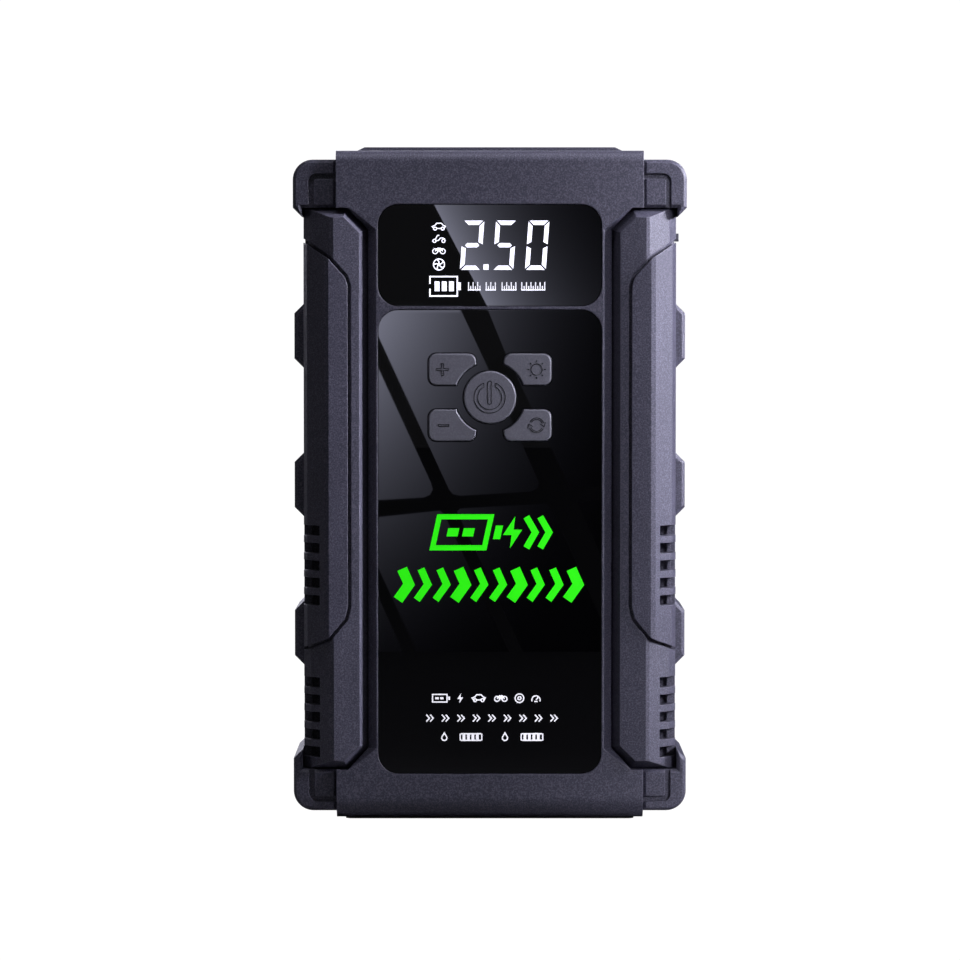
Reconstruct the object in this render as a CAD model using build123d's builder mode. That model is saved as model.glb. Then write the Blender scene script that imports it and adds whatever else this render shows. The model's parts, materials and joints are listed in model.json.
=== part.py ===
"""Jump starter pack with a built-in air compressor, as an assembly of separate pieces.

Frame: millimetres, X to the right, the front faces -Y, Z up. The pack stands on its base pad at Z = 0,
and the origin is the middle of its footprint.
"""
from build123d import *
from math import pi
import os

# ---------------------------------------------------------------- driving dimensions
# Casing
case_half_width = 44.5
case_height = 194.3
case_front = -25.2
case_wall = 2.4
case_top_radius = 3.0
case_foot_radius = 6.0
parting_y = 2.0
front_wall = 2.6
joint_gap = 0.25

# Back of the casing: two skids, a blank label and the cooling slots
skid_x = 27.0
skid_width = 7.0
skid_proud = 2.0
skid_taper = 20
skid_end_room = 25.0
label_width = 38.0
label_height = 60.0
label_corner = 3.0
label_recess = 0.6
label_gap = 0.2
slot_count = 6
slot_pitch = 5.0
slot_height = 2.0
slot_rise = 10.0
slot_left = 12.0
slot_right = 2.0

# Base pad
pad_side_room = 2.5
pad_half_depth = 19.0
pad_thick = 2.0
pad_proud = 0.6
pad_corner = 2.0

# Side guards with corner caps and knuckles
guard_reach = 12.5
guard_recess = 3.2
guard_top_drop = 2.6
guard_bottom = 2.8
guard_corner = 5.8
guard_front_drop = 11.5
guard_rear_drop = 3.5
cap_front_drop = 1.6
guard_edge = 0.9
guard_wall = 2.4
cap_reach = 2.9
cap_step = 0.3
knuckle_height = 19.6
knuckle_pitch = 43.4
groove_width = 1.6
groove_depth = 1.2
groove_in = 5.3
groove_drop = 4.8
groove_rise = 3.4
groove_bend = 1.6

# Fairings (angular side covers)
fairing_width = 9.0
fairing_proud = 0.3
fairing_step = 5.2
fairing_shoulder_drop = 4.0
fairing_back_drop = 11.2
fairing_top_drop = 16.8
fairing_bottom = 15.1
fairing_corner_in = 5.7
fairing_corner_up = 6.0
fairing_wall = 2.4
bevel_angle = 24.0
bevel_depth = 10.0
fairing_post = 2.4
fairing_screw_in = 4.5
fairing_screw_rise = 48.0
fairing_screw_drop = 36.0
# Outer skin: how far its inner edge stands proud of the casing's front, and its corners from the
# ridge outwards, as (x in from the side, y behind the casing's front)
fairing_lip = 0.7
fairing_corners = [(8.9, -1.8), (7.9, -1.5), (2.1, 3.7), (0.0, 7.7)]
grip_lip = 1.3
grip_corners = [(7.5, -2.3), (6.1, -1.8), (1.1, 3.6), (0.0, 6.6)]
skin_back = 10.0

# Grip insert in each fairing
grip_pocket = 1.2
grip_groove = 1.0
grip_inset = 5.1
grip_bottom = 50.1
grip_top_drop = 9.8
# Corners of its two ends, as (x out from its inner line, z in from the end)
grip_lower_end = [(12.3, 0.0), (5.8, 2.8), (0.9, 8.6), (0.0, 12.3)]
grip_upper_end = [(0.0, 12.2), (0.9, 9.6), (5.8, 4.2), (12.3, 0.0)]
grip_lower_run = 55.0
grip_upper_run = 80.0

# Vents
vent_height = 3.0
vent_pitch = 5.06
vent_count = 5
vent_length = 4.8
vent_back_drop = 9.6
lower_vent_z = 30.0
upper_vent_z = 74.2

# Panels on the front
panel_side_room = 3.2
panel_corner = 5.8
panel_pocket = 1.4
panel_thick = 1.2
panel_side_gap = 0.15
bezel_strip = 0.6
bezel_slope = 3.0
bezel_run_out = 1.6
display_top_drop = 15.6
display_height = 29.3
panel_strip = 1.1
panel_bottom = 13.8

# Keys
power_drop = 25.3
power_radius = 7.6
key_width = 13.75
key_height = 9.15
key_corner = 2.3
key_inner_x = 4.0
key_inner_z = 3.5
key_cut_gap = 2.7
key_clearance = 0.25
key_proud = 1.0
key_travel = 0.8
key_flange = 0.8
key_flange_thick = 0.8
key_stem_radius = 2.2
key_air = 0.1
key_edge = 0.35

# Electronics
module_depth = 5.0
board_thick = 1.6
board_side_gap = 0.9
board_top_room = 3.0
board_bottom_room = 12.0
board_screw_out = 3.4
board_screw_end = 3.5
switch_size = 4.5
switch_height = 1.9
switch_body = 1.2
plunger_radius = 1.1
heat_sink_left = -24.0
heat_sink_right = -2.0
heat_sink_base = 1.5
heat_sink_depth = 5.0
heat_sink_rise = 6.0
heat_sink_height = 24.0
heat_sink_fins = 6
fin_thick = 1.0
chip_left = 6.0
chip_size = 10.0
chip_thick = 1.2
chip_rise = 8.0
module_half_width = 26.5
module_height = 25.0
module_corner = 1.5
module_side_lap = 2.0
module_end_lap = 1.75

# Battery
cell_width = 31.0
cell_thick = 8.0
cell_length = 112.0
cell_count = 4
cell_gap = 0.3
battery_board_gap = 4.0
battery_rear_gap = 0.8
battery_post_gap = 0.5
tray_wall = 1.4
tray_height = 24.0
cell_edge = 2.0
strip_thick = 1.0
strip_width = 8.0
strip_inset = 13.6
strip_half = 3.0

# Compressor
motor_radius = 12.0
motor_length = 25.0
motor_lift = 6.0
motor_boss_radius = 4.0
motor_boss = 1.0
motor_front_gap = 0.4
motor_side_gap = 1.1
motor_seat = 5.0
frame_half_width = 13.0
frame_arm = 1.6
frame_arm_height = 2.4
frame_foot = 5.0
ear_out = 4.4
ear_edge = 2.4
ear_inset = 2.0
frame_thick = 2.0
gear_module = 0.9
gear_teeth = 36
pinion_teeth = 9
gear_thick = 4.0
gear_gap = 0.4
gear_hole = 2.4
gear_hole_count = 5
tooth_rise = 0.7
tooth_fall = 0.95
tooth_backlash = 0.3
axle_radius = 2.0
axle_clearance = 0.05
axle_head = 1.0
shaft_radius = 1.15
crank_radius = 5.5
crank_pin_radius = 1.5
crank_pin_length = 1.9
open_pivot_gap = 0.3
rod_thick = 3.0
rod_eye_radius = 4.2
rod_half_width = 2.2
rod_offset = 1.3
bore_radius = 8.0
cylinder_wall = 1.4
cylinder_fin = 0.8
cylinder_rear_gap = 0.3
cylinder_base = 2.0
fin_pitch = 3.6
fin_height = 1.0
piston_gap = 1.0
cup_height = 3.0
cup_clearance = 0.05
head_height = 7.0
head_corner = 4.0
head_chamfer = 1.0

# Air outlet
outlet_x = 22.0
outlet_radius = 6.0
outlet_length = 12.0
nipple_length = 5.0
nipple_bore = 0.6
outlet_bore = 4.0
outlet_depth = 9.0
tube_radius = 2.4
tube_bore = 1.2
tube_bend = 40.0

# Top cap
cap_side_room = 8.1
cap_half_depth = 15.0
cap_rise = 1.2
cap_flange = 1.6
cap_lap = 1.5
cap_end_slope = 2.5

# Lids and hinges
lid_thick = 2.0
lid_gap = 0.3
hinge_barrel = 1.2
hinge_pin = 0.6
hinge_clearance = 0.05
hinge_room = 2.3
hinge_out = 1.7
hinge_pin_end = 3.0
leaf_inner = 0.7
leaf_outer = 0.5
lid_chamfer = 0.4
lid_overlap = 0.5

# USB ports
usb_a_x = -5.0
usb_c_x = 8.0
usb_gap = 0.2
usb_board_half_width = 14.5
usb_board_gap = 1.2
usb_a_tongue = 1.8
usb_c_tongue = 0.7
usb_lid_half_width = 13.0
usb_lid_half_depth = 9.0
usb_a_width = 13.1
usb_a_depth = 5.7
usb_a_length = 14.0
usb_c_width = 9.0
usb_c_depth = 3.3
usb_c_length = 9.0
usb_shell = 0.4

# Torch
torch_x = -23.5
torch_radius = 8.5
torch_lens_thick = 1.6
torch_depth = 9.0
torch_seat = 1.2
torch_hole = 2.6
torch_rim = 0.6
torch_lens_drop = 0.4
torch_led_half = 1.6

# Jump lead socket, behind the lid in the right guard
socket_drop = 31.8
socket_half_depth = 10.0
socket_half_height = 6.0
socket_recess = 1.8
socket_length = 22.0
contact_pitch = 10.0
contact_bore = 2.5
contact_wall = 0.7
contact_length = 16.0
socket_lid_half_depth = 12.0
socket_lid_half_height = 10.0
tab_half_height = 1.15
tab_height = 6.85
tab_inset = 2.0
tab_width = 5.0
tab_proud = 1.5
face_plate = 1.2
face_plate_front = 0.2
face_plate_back = 0.8
face_plate_end = 0.5
socket_rim = 1.4
contact_seat = 2.0
socket_mouth = 6.0

# Fasteners
boss_side_gap = 0.2
boss_z_edge = 9.5
boss_radius = 3.2
boss_split = 10.0
rear_boss_radius = 4.2
screw_radius = 1.5
screw_hole = 1.8
screw_head_radius = 2.75
screw_head_room = 3.0
screw_head_height = 2.0
screw_seat = 2.0
casing_screw_length = 14.0
guard_screw_head = 1.6
guard_screw_grip = 6.0
fairing_screw_grip = 3.2
board_screw_grip = 4.0
compressor_screw_grip = 7.0
guard_screw_y = 6.0
small_screw = 1.0
small_hole = 1.25
small_head = 1.9
small_head_height = 1.3

# ---------------------------------------------------------------- places worked out from them
guard_half_width = case_half_width + guard_reach
guard_side = guard_half_width - guard_recess
guard_front = case_front + guard_front_drop
cap_front = case_front + cap_front_drop
fairing_side = guard_side + fairing_proud
fairing_inner = case_half_width - fairing_width
fairing_floor = case_front + fairing_step
fairing_shoulder = case_front + fairing_shoulder_drop
fairing_back = case_front + fairing_back_drop
grip_line = fairing_inner + grip_inset
vent_inner = fairing_side - vent_length
vent_back = case_front + vent_back_drop
panel_half_width = fairing_inner - panel_side_room
bezel_edge = panel_half_width + bezel_strip
pad_half_width = case_half_width - pad_side_room
cap_half_width = case_half_width - cap_side_room
middle_half = fairing_inner - case_wall
board_half_width = middle_half - board_side_gap
guard_top = case_height - guard_top_drop
guard_middle = (guard_top + guard_bottom) / 2
fairing_top = case_height - fairing_top_drop
grip_top = fairing_top - grip_top_drop
display_top = case_height - display_top_drop
display_bottom = display_top - display_height
panel_top = display_bottom - panel_strip
display_z = (display_top + display_bottom) / 2
panel_z = (panel_top + panel_bottom) / 2
power_z = panel_top - power_drop
panel_front = case_front + panel_pocket - panel_thick
front_inside = case_front + front_wall
step_inside = fairing_floor + case_wall
case_inside = case_half_width - case_wall
case_middle = (pad_proud + case_height) / 2
floor_inside = pad_proud + case_wall
roof_inside = case_height - case_wall
key_centre_x = key_inner_x + key_width / 2
key_centre_z = key_inner_z + key_height / 2
key_cut_radius = power_radius + key_cut_gap
board_y = front_inside + module_depth
board_back = board_y + board_thick
board_top = display_top + board_top_room
board_bottom = power_z - key_centre_z - board_bottom_room
boss_x = case_inside - rear_boss_radius - boss_side_gap
battery_left = -boss_x + rear_boss_radius + battery_post_gap + tray_wall
battery_right = battery_left + cell_width
battery_front = board_back + battery_board_gap
battery_back = battery_front + cell_count * cell_thick + (cell_count - 1) * cell_gap
battery_bottom = floor_inside + tray_wall
battery_top = battery_bottom + cell_length
gear_radius = gear_module * gear_teeth / 2
pinion_radius = gear_module * pinion_teeth / 2
gear_tip = gear_radius + tooth_rise * gear_module
motor_z = floor_inside + motor_lift + motor_radius
gear_z = motor_z + gear_radius + pinion_radius
compressor_x = middle_half - motor_side_gap - motor_radius
frame_y = front_inside + motor_front_gap + motor_boss + motor_length
gear_front = frame_y + frame_thick + gear_gap
gear_back = gear_front + gear_thick
crank_pin_end = gear_back + crank_pin_length
rod_front = crank_pin_end + open_pivot_gap
fin_radius = bore_radius + cylinder_wall + cylinder_fin
cylinder_y = rod_front + rod_thick / 2 - rod_offset
piston_radius = bore_radius - piston_gap
rear_inside = max(
    battery_back + tray_wall + battery_rear_gap,
    cylinder_y + fin_radius + cylinder_rear_gap,
)
case_rear = rear_inside + case_wall
guard_rear = case_rear - guard_rear_drop
cylinder_bottom = gear_z + gear_tip + 1.2
piston_bottom_low = cylinder_bottom + 0.6
piston_top_high = piston_bottom_low + cup_height + 2 * crank_radius
cylinder_top = piston_top_high + 1.0
pin_z_high = gear_z + crank_radius
cap_top = case_height + cap_rise
cap_bottom = roof_inside - cap_flange
socket_y = parting_y
socket_z = case_height - socket_drop
lid_outer_x = guard_side
lid_inner_x = lid_outer_x - lid_thick
side_hinge_x = lid_outer_x - lid_thick / 2
side_hinge_y = socket_y + socket_lid_half_depth + hinge_out
socket_face = lid_inner_x - socket_recess
side_pin_bottom = socket_z - socket_lid_half_height - hinge_pin_end
side_pin_top = socket_z + socket_lid_half_height + hinge_pin_end
usb_pin_half = usb_lid_half_width + hinge_pin_end
usb_hinge_z = cap_top - lid_thick / 2
usb_hinge_y = usb_lid_half_depth + hinge_out
outlet_top = cap_top - 0.6
boss_heights = (boss_z_edge, (boss_z_edge + case_height - boss_z_edge) / 2, case_height - boss_z_edge)
boss_places = [(side * boss_x, z) for side in (-1, 1) for z in boss_heights]
guard_screw_heights = (guard_middle - knuckle_pitch, guard_middle + knuckle_pitch)
fairing_screw_x = fairing_inner + fairing_screw_in
fairing_screw_heights = (fairing_bottom + fairing_screw_rise, fairing_top - fairing_screw_drop)
fairing_screw_places = [(side * fairing_screw_x, z) for side in (-1, 1) for z in fairing_screw_heights]
board_screw_x = module_half_width + board_screw_out
board_screw_heights = (board_bottom + board_screw_end, board_top - board_screw_end)
board_screw_places = [(side * board_screw_x, z) for side in (-1, 1) for z in board_screw_heights]
ear_x = compressor_x + motor_radius + ear_out
ear_heights = (motor_z - ear_inset, gear_z + gear_tip - ear_inset)
far = 200.0

os.makedirs("parts", exist_ok=True)


# ---------------------------------------------------------------- helpers
def at_y(y):
    """The plane at depth y that faces the front; its local axes are X and Z."""
    return Plane.XZ.offset(-y)


def block(x0, x1, y0, y1, z0, z1, mode=Mode.ADD):
    """A block between two corners, put into the piece that is being made."""
    with Locations(((x0 + x1) / 2, (y0 + y1) / 2, (z0 + z1) / 2)):
        Box(x1 - x0, y1 - y0, z1 - z0, mode=mode)


def rod_y(x, z, radius, y0, y1, mode=Mode.ADD):
    """A round rod along Y, put into the piece that is being made."""
    with Locations(Location((x, (y0 + y1) / 2, z), (90, 0, 0))):
        Cylinder(radius, y1 - y0, mode=mode)


def rod_z(x, y, radius, z0, z1, mode=Mode.ADD):
    """A round rod along Z, put into the piece that is being made."""
    with Locations((x, y, (z0 + z1) / 2)):
        Cylinder(radius, z1 - z0, mode=mode)


def rod_x(y, z, radius, x0, x1, mode=Mode.ADD):
    """A round rod along X, put into the piece that is being made."""
    with Locations(Location(((x0 + x1) / 2, y, z), (0, 90, 0))):
        Cylinder(radius, x1 - x0, mode=mode)


def finish(piece, name):
    """Name a finished piece and write it."""
    piece.part.label = name
    export_step(piece.part, f"parts/{name}.step")


def screw(place, radius, head_radius, head_height, length):
    """A pan-head screw with a cross slot; place is under its head, and its local Z points to the head."""
    with Locations(place):
        Cylinder(head_radius, head_height, align=(Align.CENTER, Align.CENTER, Align.MIN))
        Cylinder(radius, length, align=(Align.CENTER, Align.CENTER, Align.MAX))
    slot = 0.3 * head_radius
    with Locations(place * Location((0, 0, head_height))):
        Box(1.3 * head_radius, slot, head_height, mode=Mode.SUBTRACT)
        Box(slot, 1.3 * head_radius, head_height, mode=Mode.SUBTRACT)


# ---------------------------------------------------------------- outlines shared by several pieces
def fairing_outline(grow):
    """Front outline of the right fairing's region, open past its outer side."""
    with BuildSketch() as outline:
        with BuildLine():
            Polyline(
                (fairing_inner, fairing_bottom + fairing_corner_up),
                (fairing_inner + fairing_corner_in, fairing_bottom),
                (far, fairing_bottom),
                (far, fairing_top),
                (fairing_inner + fairing_corner_in, fairing_top),
                (fairing_inner, fairing_top - fairing_corner_up),
                close=True,
            )
        make_face()
        if grow:
            offset(amount=grow, kind=Kind.INTERSECTION)
    return outline.sketch


def skin_section(lip, corners, grow=0):
    """Cross-section of the right side's outer skin, moved out by grow, and deep towards the back."""
    with BuildSketch() as section:
        with BuildLine():
            Polyline(
                (fairing_inner, skin_back),
                (fairing_inner, case_front - lip),
                *[(fairing_side - x, case_front + y) for x, y in corners],
                (fairing_side, skin_back),
                close=True,
            )
        make_face()
        if grow:
            offset(amount=grow, kind=Kind.INTERSECTION)
    return section.sketch


def grip_outline(grow):
    """Front outline of the right grip, open past its outer side."""
    with BuildSketch() as outline:
        with BuildLine():
            Polyline(
                (far, grip_bottom - grip_lower_run),
                *[(grip_line + x, grip_bottom + z) for x, z in grip_lower_end],
                *[(grip_line + x, grip_top - z) for x, z in grip_upper_end],
                (far, grip_top + grip_upper_run),
                close=True,
            )
        make_face()
        if grow:
            offset(amount=grow, kind=Kind.INTERSECTION)
    return outline.sketch


def key_shape(side_x, side_z, grow):
    """Outline of one corner key, a rounded rectangle with a round bite towards the power key."""
    with BuildSketch() as shape:
        with Locations((side_x * key_centre_x, power_z + side_z * key_centre_z)):
            RectangleRounded(key_width + 2 * grow, key_height + 2 * grow, key_corner + grow)
        with Locations((0, power_z)):
            Circle(key_cut_radius - grow, mode=Mode.SUBTRACT)
    return shape.sketch


def key_openings(grow):
    """Outlines of the four corner keys and the power key together."""
    with BuildSketch() as openings:
        for side_x in (-1, 1):
            for side_z in (-1, 1):
                add(key_shape(side_x, side_z, grow))
        with Locations((0, power_z)):
            Circle(power_radius + grow)
    return openings.sketch


def gear_shape(teeth, turn):
    """Outline of a small gear with straight-sided teeth; a tooth points to the angle turn."""
    pitch_radius = gear_module * teeth / 2
    root = pitch_radius - tooth_fall * gear_module
    tip = pitch_radius + tooth_rise * gear_module
    thickness = gear_module * pi / 2 - tooth_backlash
    root_half = (thickness + 0.55 * gear_module) / 2
    tip_half = (thickness - 0.5 * gear_module) / 2
    sink = 0.3
    with BuildSketch() as shape:
        Circle(root)
        with PolarLocations(0, teeth, start_angle=turn):
            Polygon(
                (root - sink, -root_half), (tip, -tip_half), (tip, tip_half), (root - sink, root_half),
                align=None,
            )
    return shape.sketch


# ---------------------------------------------------------------- cutters shared by both casing halves
with BuildPart() as pad_seat:
    block(-pad_half_width, pad_half_width, -pad_half_depth, pad_half_depth, 0, pad_thick)

with BuildPart() as cap_seat:
    block(
        -cap_half_width - cap_end_slope, cap_half_width + cap_end_slope,
        -cap_half_depth, cap_half_depth, roof_inside - 0.5, case_height + 1,
    )

with BuildPart() as socket_seat:
    block(
        case_inside - 1, case_half_width + 1,
        socket_y - socket_half_depth, socket_y + socket_half_depth,
        socket_z - socket_half_height, socket_z + socket_half_height,
    )

with BuildPart() as guard_screw_holes:
    for side in (-1, 1):
        for z in guard_screw_heights:
            wall_x = side * case_half_width
            rod_x(guard_screw_y, z, screw_hole, wall_x - case_wall - 1, wall_x + case_wall + 1)


# ---------------------------------------------------------------- front casing
with BuildPart() as fairing_pocket:
    with BuildSketch(at_y(fairing_floor)):
        add(fairing_outline(joint_gap))
    extrude(amount=far)

with BuildPart() as bezel_cut:
    straight_bottom = fairing_bottom + fairing_corner_up
    straight_top = fairing_top - fairing_corner_up
    bevel_face = [
        (bezel_edge, case_front), (bezel_edge, case_front - 1),
        (fairing_inner + 1, case_front - 1), (fairing_inner + 1, case_front + bezel_slope + 0.9),
    ]
    with BuildSketch(Plane.XY.offset(straight_bottom)):
        Polygon(*bevel_face, align=None)
    extrude(amount=straight_top - straight_bottom)
    # The bevel fades away along the fairing's corner
    end_inner = bezel_edge + fairing_corner_in + bezel_run_out
    end_outer = fairing_inner + fairing_corner_in + 1
    run_out = [
        (end_inner, case_front), (end_inner, case_front - 1),
        (end_outer, case_front - 1), (end_outer, case_front + 0.1),
    ]
    for z, end in ((straight_bottom, fairing_bottom), (straight_top, fairing_top)):
        with BuildSketch(Plane.XY.offset(z)):
            Polygon(*bevel_face, align=None)
        with BuildSketch(Plane.XY.offset(end)):
            Polygon(*run_out, align=None)
        loft()

with BuildPart() as front_casing:
    with BuildSketch(at_y(parting_y)):
        with Locations((0, case_middle)):
            Rectangle(2 * case_half_width, case_height - pad_proud)
    extrude(amount=parting_y - case_front)
    front_edges = front_casing.edges().group_by(Axis.Y)[0]
    fillet(front_edges.filter_by(Axis.X).sort_by(Axis.Z)[-1], radius=case_top_radius)
    front_edges = front_casing.edges().filter_by(Axis.X).group_by(Axis.Y)[0]
    fillet(front_edges.sort_by(Axis.Z)[0], radius=case_foot_radius)
    add(fairing_pocket.part, mode=Mode.SUBTRACT)
    mirror(fairing_pocket.part, about=Plane.YZ, mode=Mode.SUBTRACT)
    add(bezel_cut.part, mode=Mode.SUBTRACT)
    mirror(bezel_cut.part, about=Plane.YZ, mode=Mode.SUBTRACT)
    # Pockets for the two gloss panels
    with BuildSketch(at_y(case_front + panel_pocket)):
        with Locations((0, display_z)):
            RectangleRounded(
                2 * (panel_half_width + panel_side_gap), display_height + 2 * panel_side_gap,
                panel_corner + panel_side_gap,
            )
        with Locations((0, panel_z)):
            RectangleRounded(
                2 * (panel_half_width + panel_side_gap), panel_top - panel_bottom + 2 * panel_side_gap,
                panel_corner + panel_side_gap,
            )
    extrude(amount=panel_pocket, mode=Mode.SUBTRACT)
    # Hollow inside, shallower behind the fairings
    block(
        -middle_half, middle_half, front_inside, parting_y, floor_inside, roof_inside, mode=Mode.SUBTRACT,
    )
    block(
        -case_inside, case_inside, step_inside, parting_y, floor_inside, roof_inside, mode=Mode.SUBTRACT,
    )
    # Screw posts
    for x, z in boss_places:
        rod_y(x, z, boss_radius, step_inside - 0.5, boss_split)
        rod_y(x, z, screw_radius, step_inside + 4, boss_split, mode=Mode.SUBTRACT)
    for x, z in board_screw_places:
        rod_y(x, z, boss_radius - 1, front_inside - 0.5, board_y)
        rod_y(x, z, small_screw, front_inside + 0.3, board_y, mode=Mode.SUBTRACT)
    # Openings for the display, the keys, the fairing screws and the pieces held between the halves
    block(
        module_side_lap - module_half_width, module_half_width - module_side_lap,
        case_front, front_inside + 1,
        display_z - module_height / 2 + module_end_lap, display_z + module_height / 2 - module_end_lap,
        mode=Mode.SUBTRACT,
    )
    with BuildSketch(at_y(front_inside + 1)):
        add(key_openings(key_clearance))
    extrude(amount=front_wall + 2, mode=Mode.SUBTRACT)
    for x, z in fairing_screw_places:
        rod_y(x, z, small_hole, fairing_floor - 1, step_inside + 1, mode=Mode.SUBTRACT)
    add(pad_seat.part, mode=Mode.SUBTRACT)
    add(cap_seat.part, mode=Mode.SUBTRACT)
    add(socket_seat.part, mode=Mode.SUBTRACT)
    add(guard_screw_holes.part, mode=Mode.SUBTRACT)
finish(front_casing, "front_casing")

# ---------------------------------------------------------------- rear casing
with BuildPart() as rear_casing:
    block(-case_half_width, case_half_width, parting_y, case_rear, pad_proud, case_height)
    rear_edges = rear_casing.edges().group_by(Axis.Y)[-1]
    fillet(rear_edges, radius=case_top_radius)
    block(
        -case_inside, case_inside, parting_y, rear_inside, floor_inside, roof_inside, mode=Mode.SUBTRACT,
    )
    # Two long skids stand proud of the back
    for side in (-1, 1):
        with BuildSketch(Plane.XZ.offset(-case_rear)):
            with Locations((side * skid_x, case_middle)):
                SlotOverall(case_height - 2 * skid_end_room, skid_width, rotation=90)
        extrude(amount=-skid_proud, taper=skid_taper)
    # Recess for the blank label
    with BuildSketch(Plane.XZ.offset(-case_rear)):
        with Locations((0, case_middle)):
            RectangleRounded(
                label_width + 2 * label_gap, label_height + 2 * label_gap, label_corner + label_gap,
            )
    extrude(amount=label_recess, mode=Mode.SUBTRACT)
    # Tubes that take the screw heads
    for x, z in boss_places:
        rod_y(x, z, rear_boss_radius, boss_split, rear_inside + 0.5)
        rod_y(x, z, screw_head_room, boss_split + screw_seat, case_rear + 1, mode=Mode.SUBTRACT)
        rod_y(x, z, screw_hole, boss_split - 1, boss_split + 3, mode=Mode.SUBTRACT)
    # Posts for the compressor
    for z in ear_heights:
        rod_y(ear_x, z, boss_radius - 0.6, frame_y + frame_thick, rear_inside + 0.5)
        rod_y(ear_x, z, small_screw, frame_y + frame_thick, frame_y + frame_thick + 10, mode=Mode.SUBTRACT)
    # Cooling slots behind the compressor
    for row in range(slot_count):
        z = motor_z + slot_rise + row * slot_pitch
        block(
            compressor_x - slot_left, compressor_x + slot_right, rear_inside - 1, case_rear + 1,
            z - slot_height / 2, z + slot_height / 2, mode=Mode.SUBTRACT,
        )
    add(pad_seat.part, mode=Mode.SUBTRACT)
    add(cap_seat.part, mode=Mode.SUBTRACT)
    add(socket_seat.part, mode=Mode.SUBTRACT)
    add(guard_screw_holes.part, mode=Mode.SUBTRACT)
finish(rear_casing, "rear_casing")

with BuildPart() as rear_label:
    with BuildSketch(Plane.XZ.offset(-case_rear)):
        with Locations((0, case_middle)):
            RectangleRounded(label_width, label_height, label_corner)
    extrude(amount=label_recess)
finish(rear_label, "rear_label")

with BuildPart() as base_pad:
    block(-pad_half_width, pad_half_width, -pad_half_depth, pad_half_depth, 0, pad_thick)
    fillet(base_pad.edges().filter_by(Axis.Z), radius=pad_corner)
finish(base_pad, "base_pad")

# ---------------------------------------------------------------- fairings and grips
with BuildPart() as fairing_skin:
    with BuildSketch(Plane.XY.offset(fairing_bottom)):
        add(skin_section(fairing_lip, fairing_corners))
    extrude(amount=fairing_top - fairing_bottom)

with BuildPart() as fairing_inside:
    with BuildSketch(Plane.XY.offset(fairing_bottom)):
        add(skin_section(fairing_lip, fairing_corners, -fairing_wall))
    extrude(amount=fairing_top - fairing_bottom)
    with BuildSketch(at_y(skin_back)):
        add(fairing_outline(-fairing_wall))
    extrude(amount=far, mode=Mode.INTERSECT)

with BuildPart() as grip_floor:
    with BuildSketch(Plane.XY.offset(fairing_bottom)):
        add(skin_section(fairing_lip, fairing_corners, -grip_pocket))
    extrude(amount=fairing_top - fairing_bottom)

with BuildPart() as grip_region:
    with BuildSketch(at_y(0)):
        add(grip_outline(grip_groove / 2))
    extrude(amount=far)
    add(grip_floor.part, mode=Mode.SUBTRACT)

with BuildPart() as vents:
    for middle in (lower_vent_z, upper_vent_z):
        for row in range(vent_count):
            z = middle + (row - (vent_count - 1) / 2) * vent_pitch
            block(vent_inner, far, case_front - 10, vent_back, z - vent_height / 2, z + vent_height / 2)

with BuildPart() as right_fairing:
    with BuildSketch(at_y(fairing_back)):
        add(fairing_outline(0))
    extrude(amount=fairing_back - fairing_shoulder)
    with BuildSketch(at_y(fairing_shoulder)):
        add(fairing_outline(0))
    extrude(amount=bevel_depth, taper=bevel_angle)
    add(fairing_skin.part, mode=Mode.INTERSECT)
    add(fairing_inside.part, mode=Mode.SUBTRACT)
    block(
        0, case_half_width, fairing_floor, skin_back, fairing_bottom - 1, fairing_top + 1, mode=Mode.SUBTRACT,
    )
    for z in fairing_screw_heights:
        rod_y(fairing_screw_x, z, fairing_post, case_front + 0.6, fairing_floor)
        rod_y(fairing_screw_x, z, small_screw, case_front + 1.6, fairing_floor, mode=Mode.SUBTRACT)
    add(grip_region.part, mode=Mode.SUBTRACT)
    add(vents.part, mode=Mode.SUBTRACT)
finish(right_fairing, "right_fairing")

with BuildPart() as left_fairing:
    mirror(right_fairing.part, about=Plane.YZ)
finish(left_fairing, "left_fairing")

with BuildPart() as right_grip:
    with BuildSketch(Plane.XY.offset(fairing_bottom)):
        add(skin_section(grip_lip, grip_corners))
    extrude(amount=fairing_top - fairing_bottom)
    with BuildSketch(at_y(fairing_back)):
        add(grip_outline(-grip_groove / 2))
    extrude(amount=far, mode=Mode.INTERSECT)
    add(grip_floor.part, mode=Mode.SUBTRACT)
    add(vents.part, mode=Mode.SUBTRACT)
finish(right_grip, "right_grip")

with BuildPart() as left_grip:
    mirror(right_grip.part, about=Plane.YZ)
finish(left_grip, "left_grip")


# ---------------------------------------------------------------- side guards
def guard_outline():
    """Front outline of the right guard: two corner caps and three knuckles."""
    bulge = guard_half_width - guard_side
    low = fairing_bottom + cap_reach
    high = fairing_top + cap_step
    points = [(case_half_width, guard_bottom), (guard_half_width, guard_bottom), (guard_half_width, low)]
    points.append((guard_side, low + bulge))
    for step in (-1, 0, 1):
        middle = guard_middle + step * knuckle_pitch
        points.append((guard_side, middle - knuckle_height / 2))
        points.append((guard_half_width, middle - knuckle_height / 2 + bulge))
        points.append((guard_half_width, middle + knuckle_height / 2 - bulge))
        points.append((guard_side, middle + knuckle_height / 2))
    points.append((guard_side, high - bulge))
    points.append((guard_half_width, high))
    points.append((guard_half_width, guard_top))
    points.append((case_half_width, guard_top))
    with BuildSketch() as outline:
        Polygon(*points, align=None)
        outer = outline.vertices().group_by(Axis.X)[-1]
        corners = [outer.sort_by(Axis.Y)[0], outer.sort_by(Axis.Y)[-1]]
        fillet(corners, radius=guard_corner)
    return outline.sketch


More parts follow.
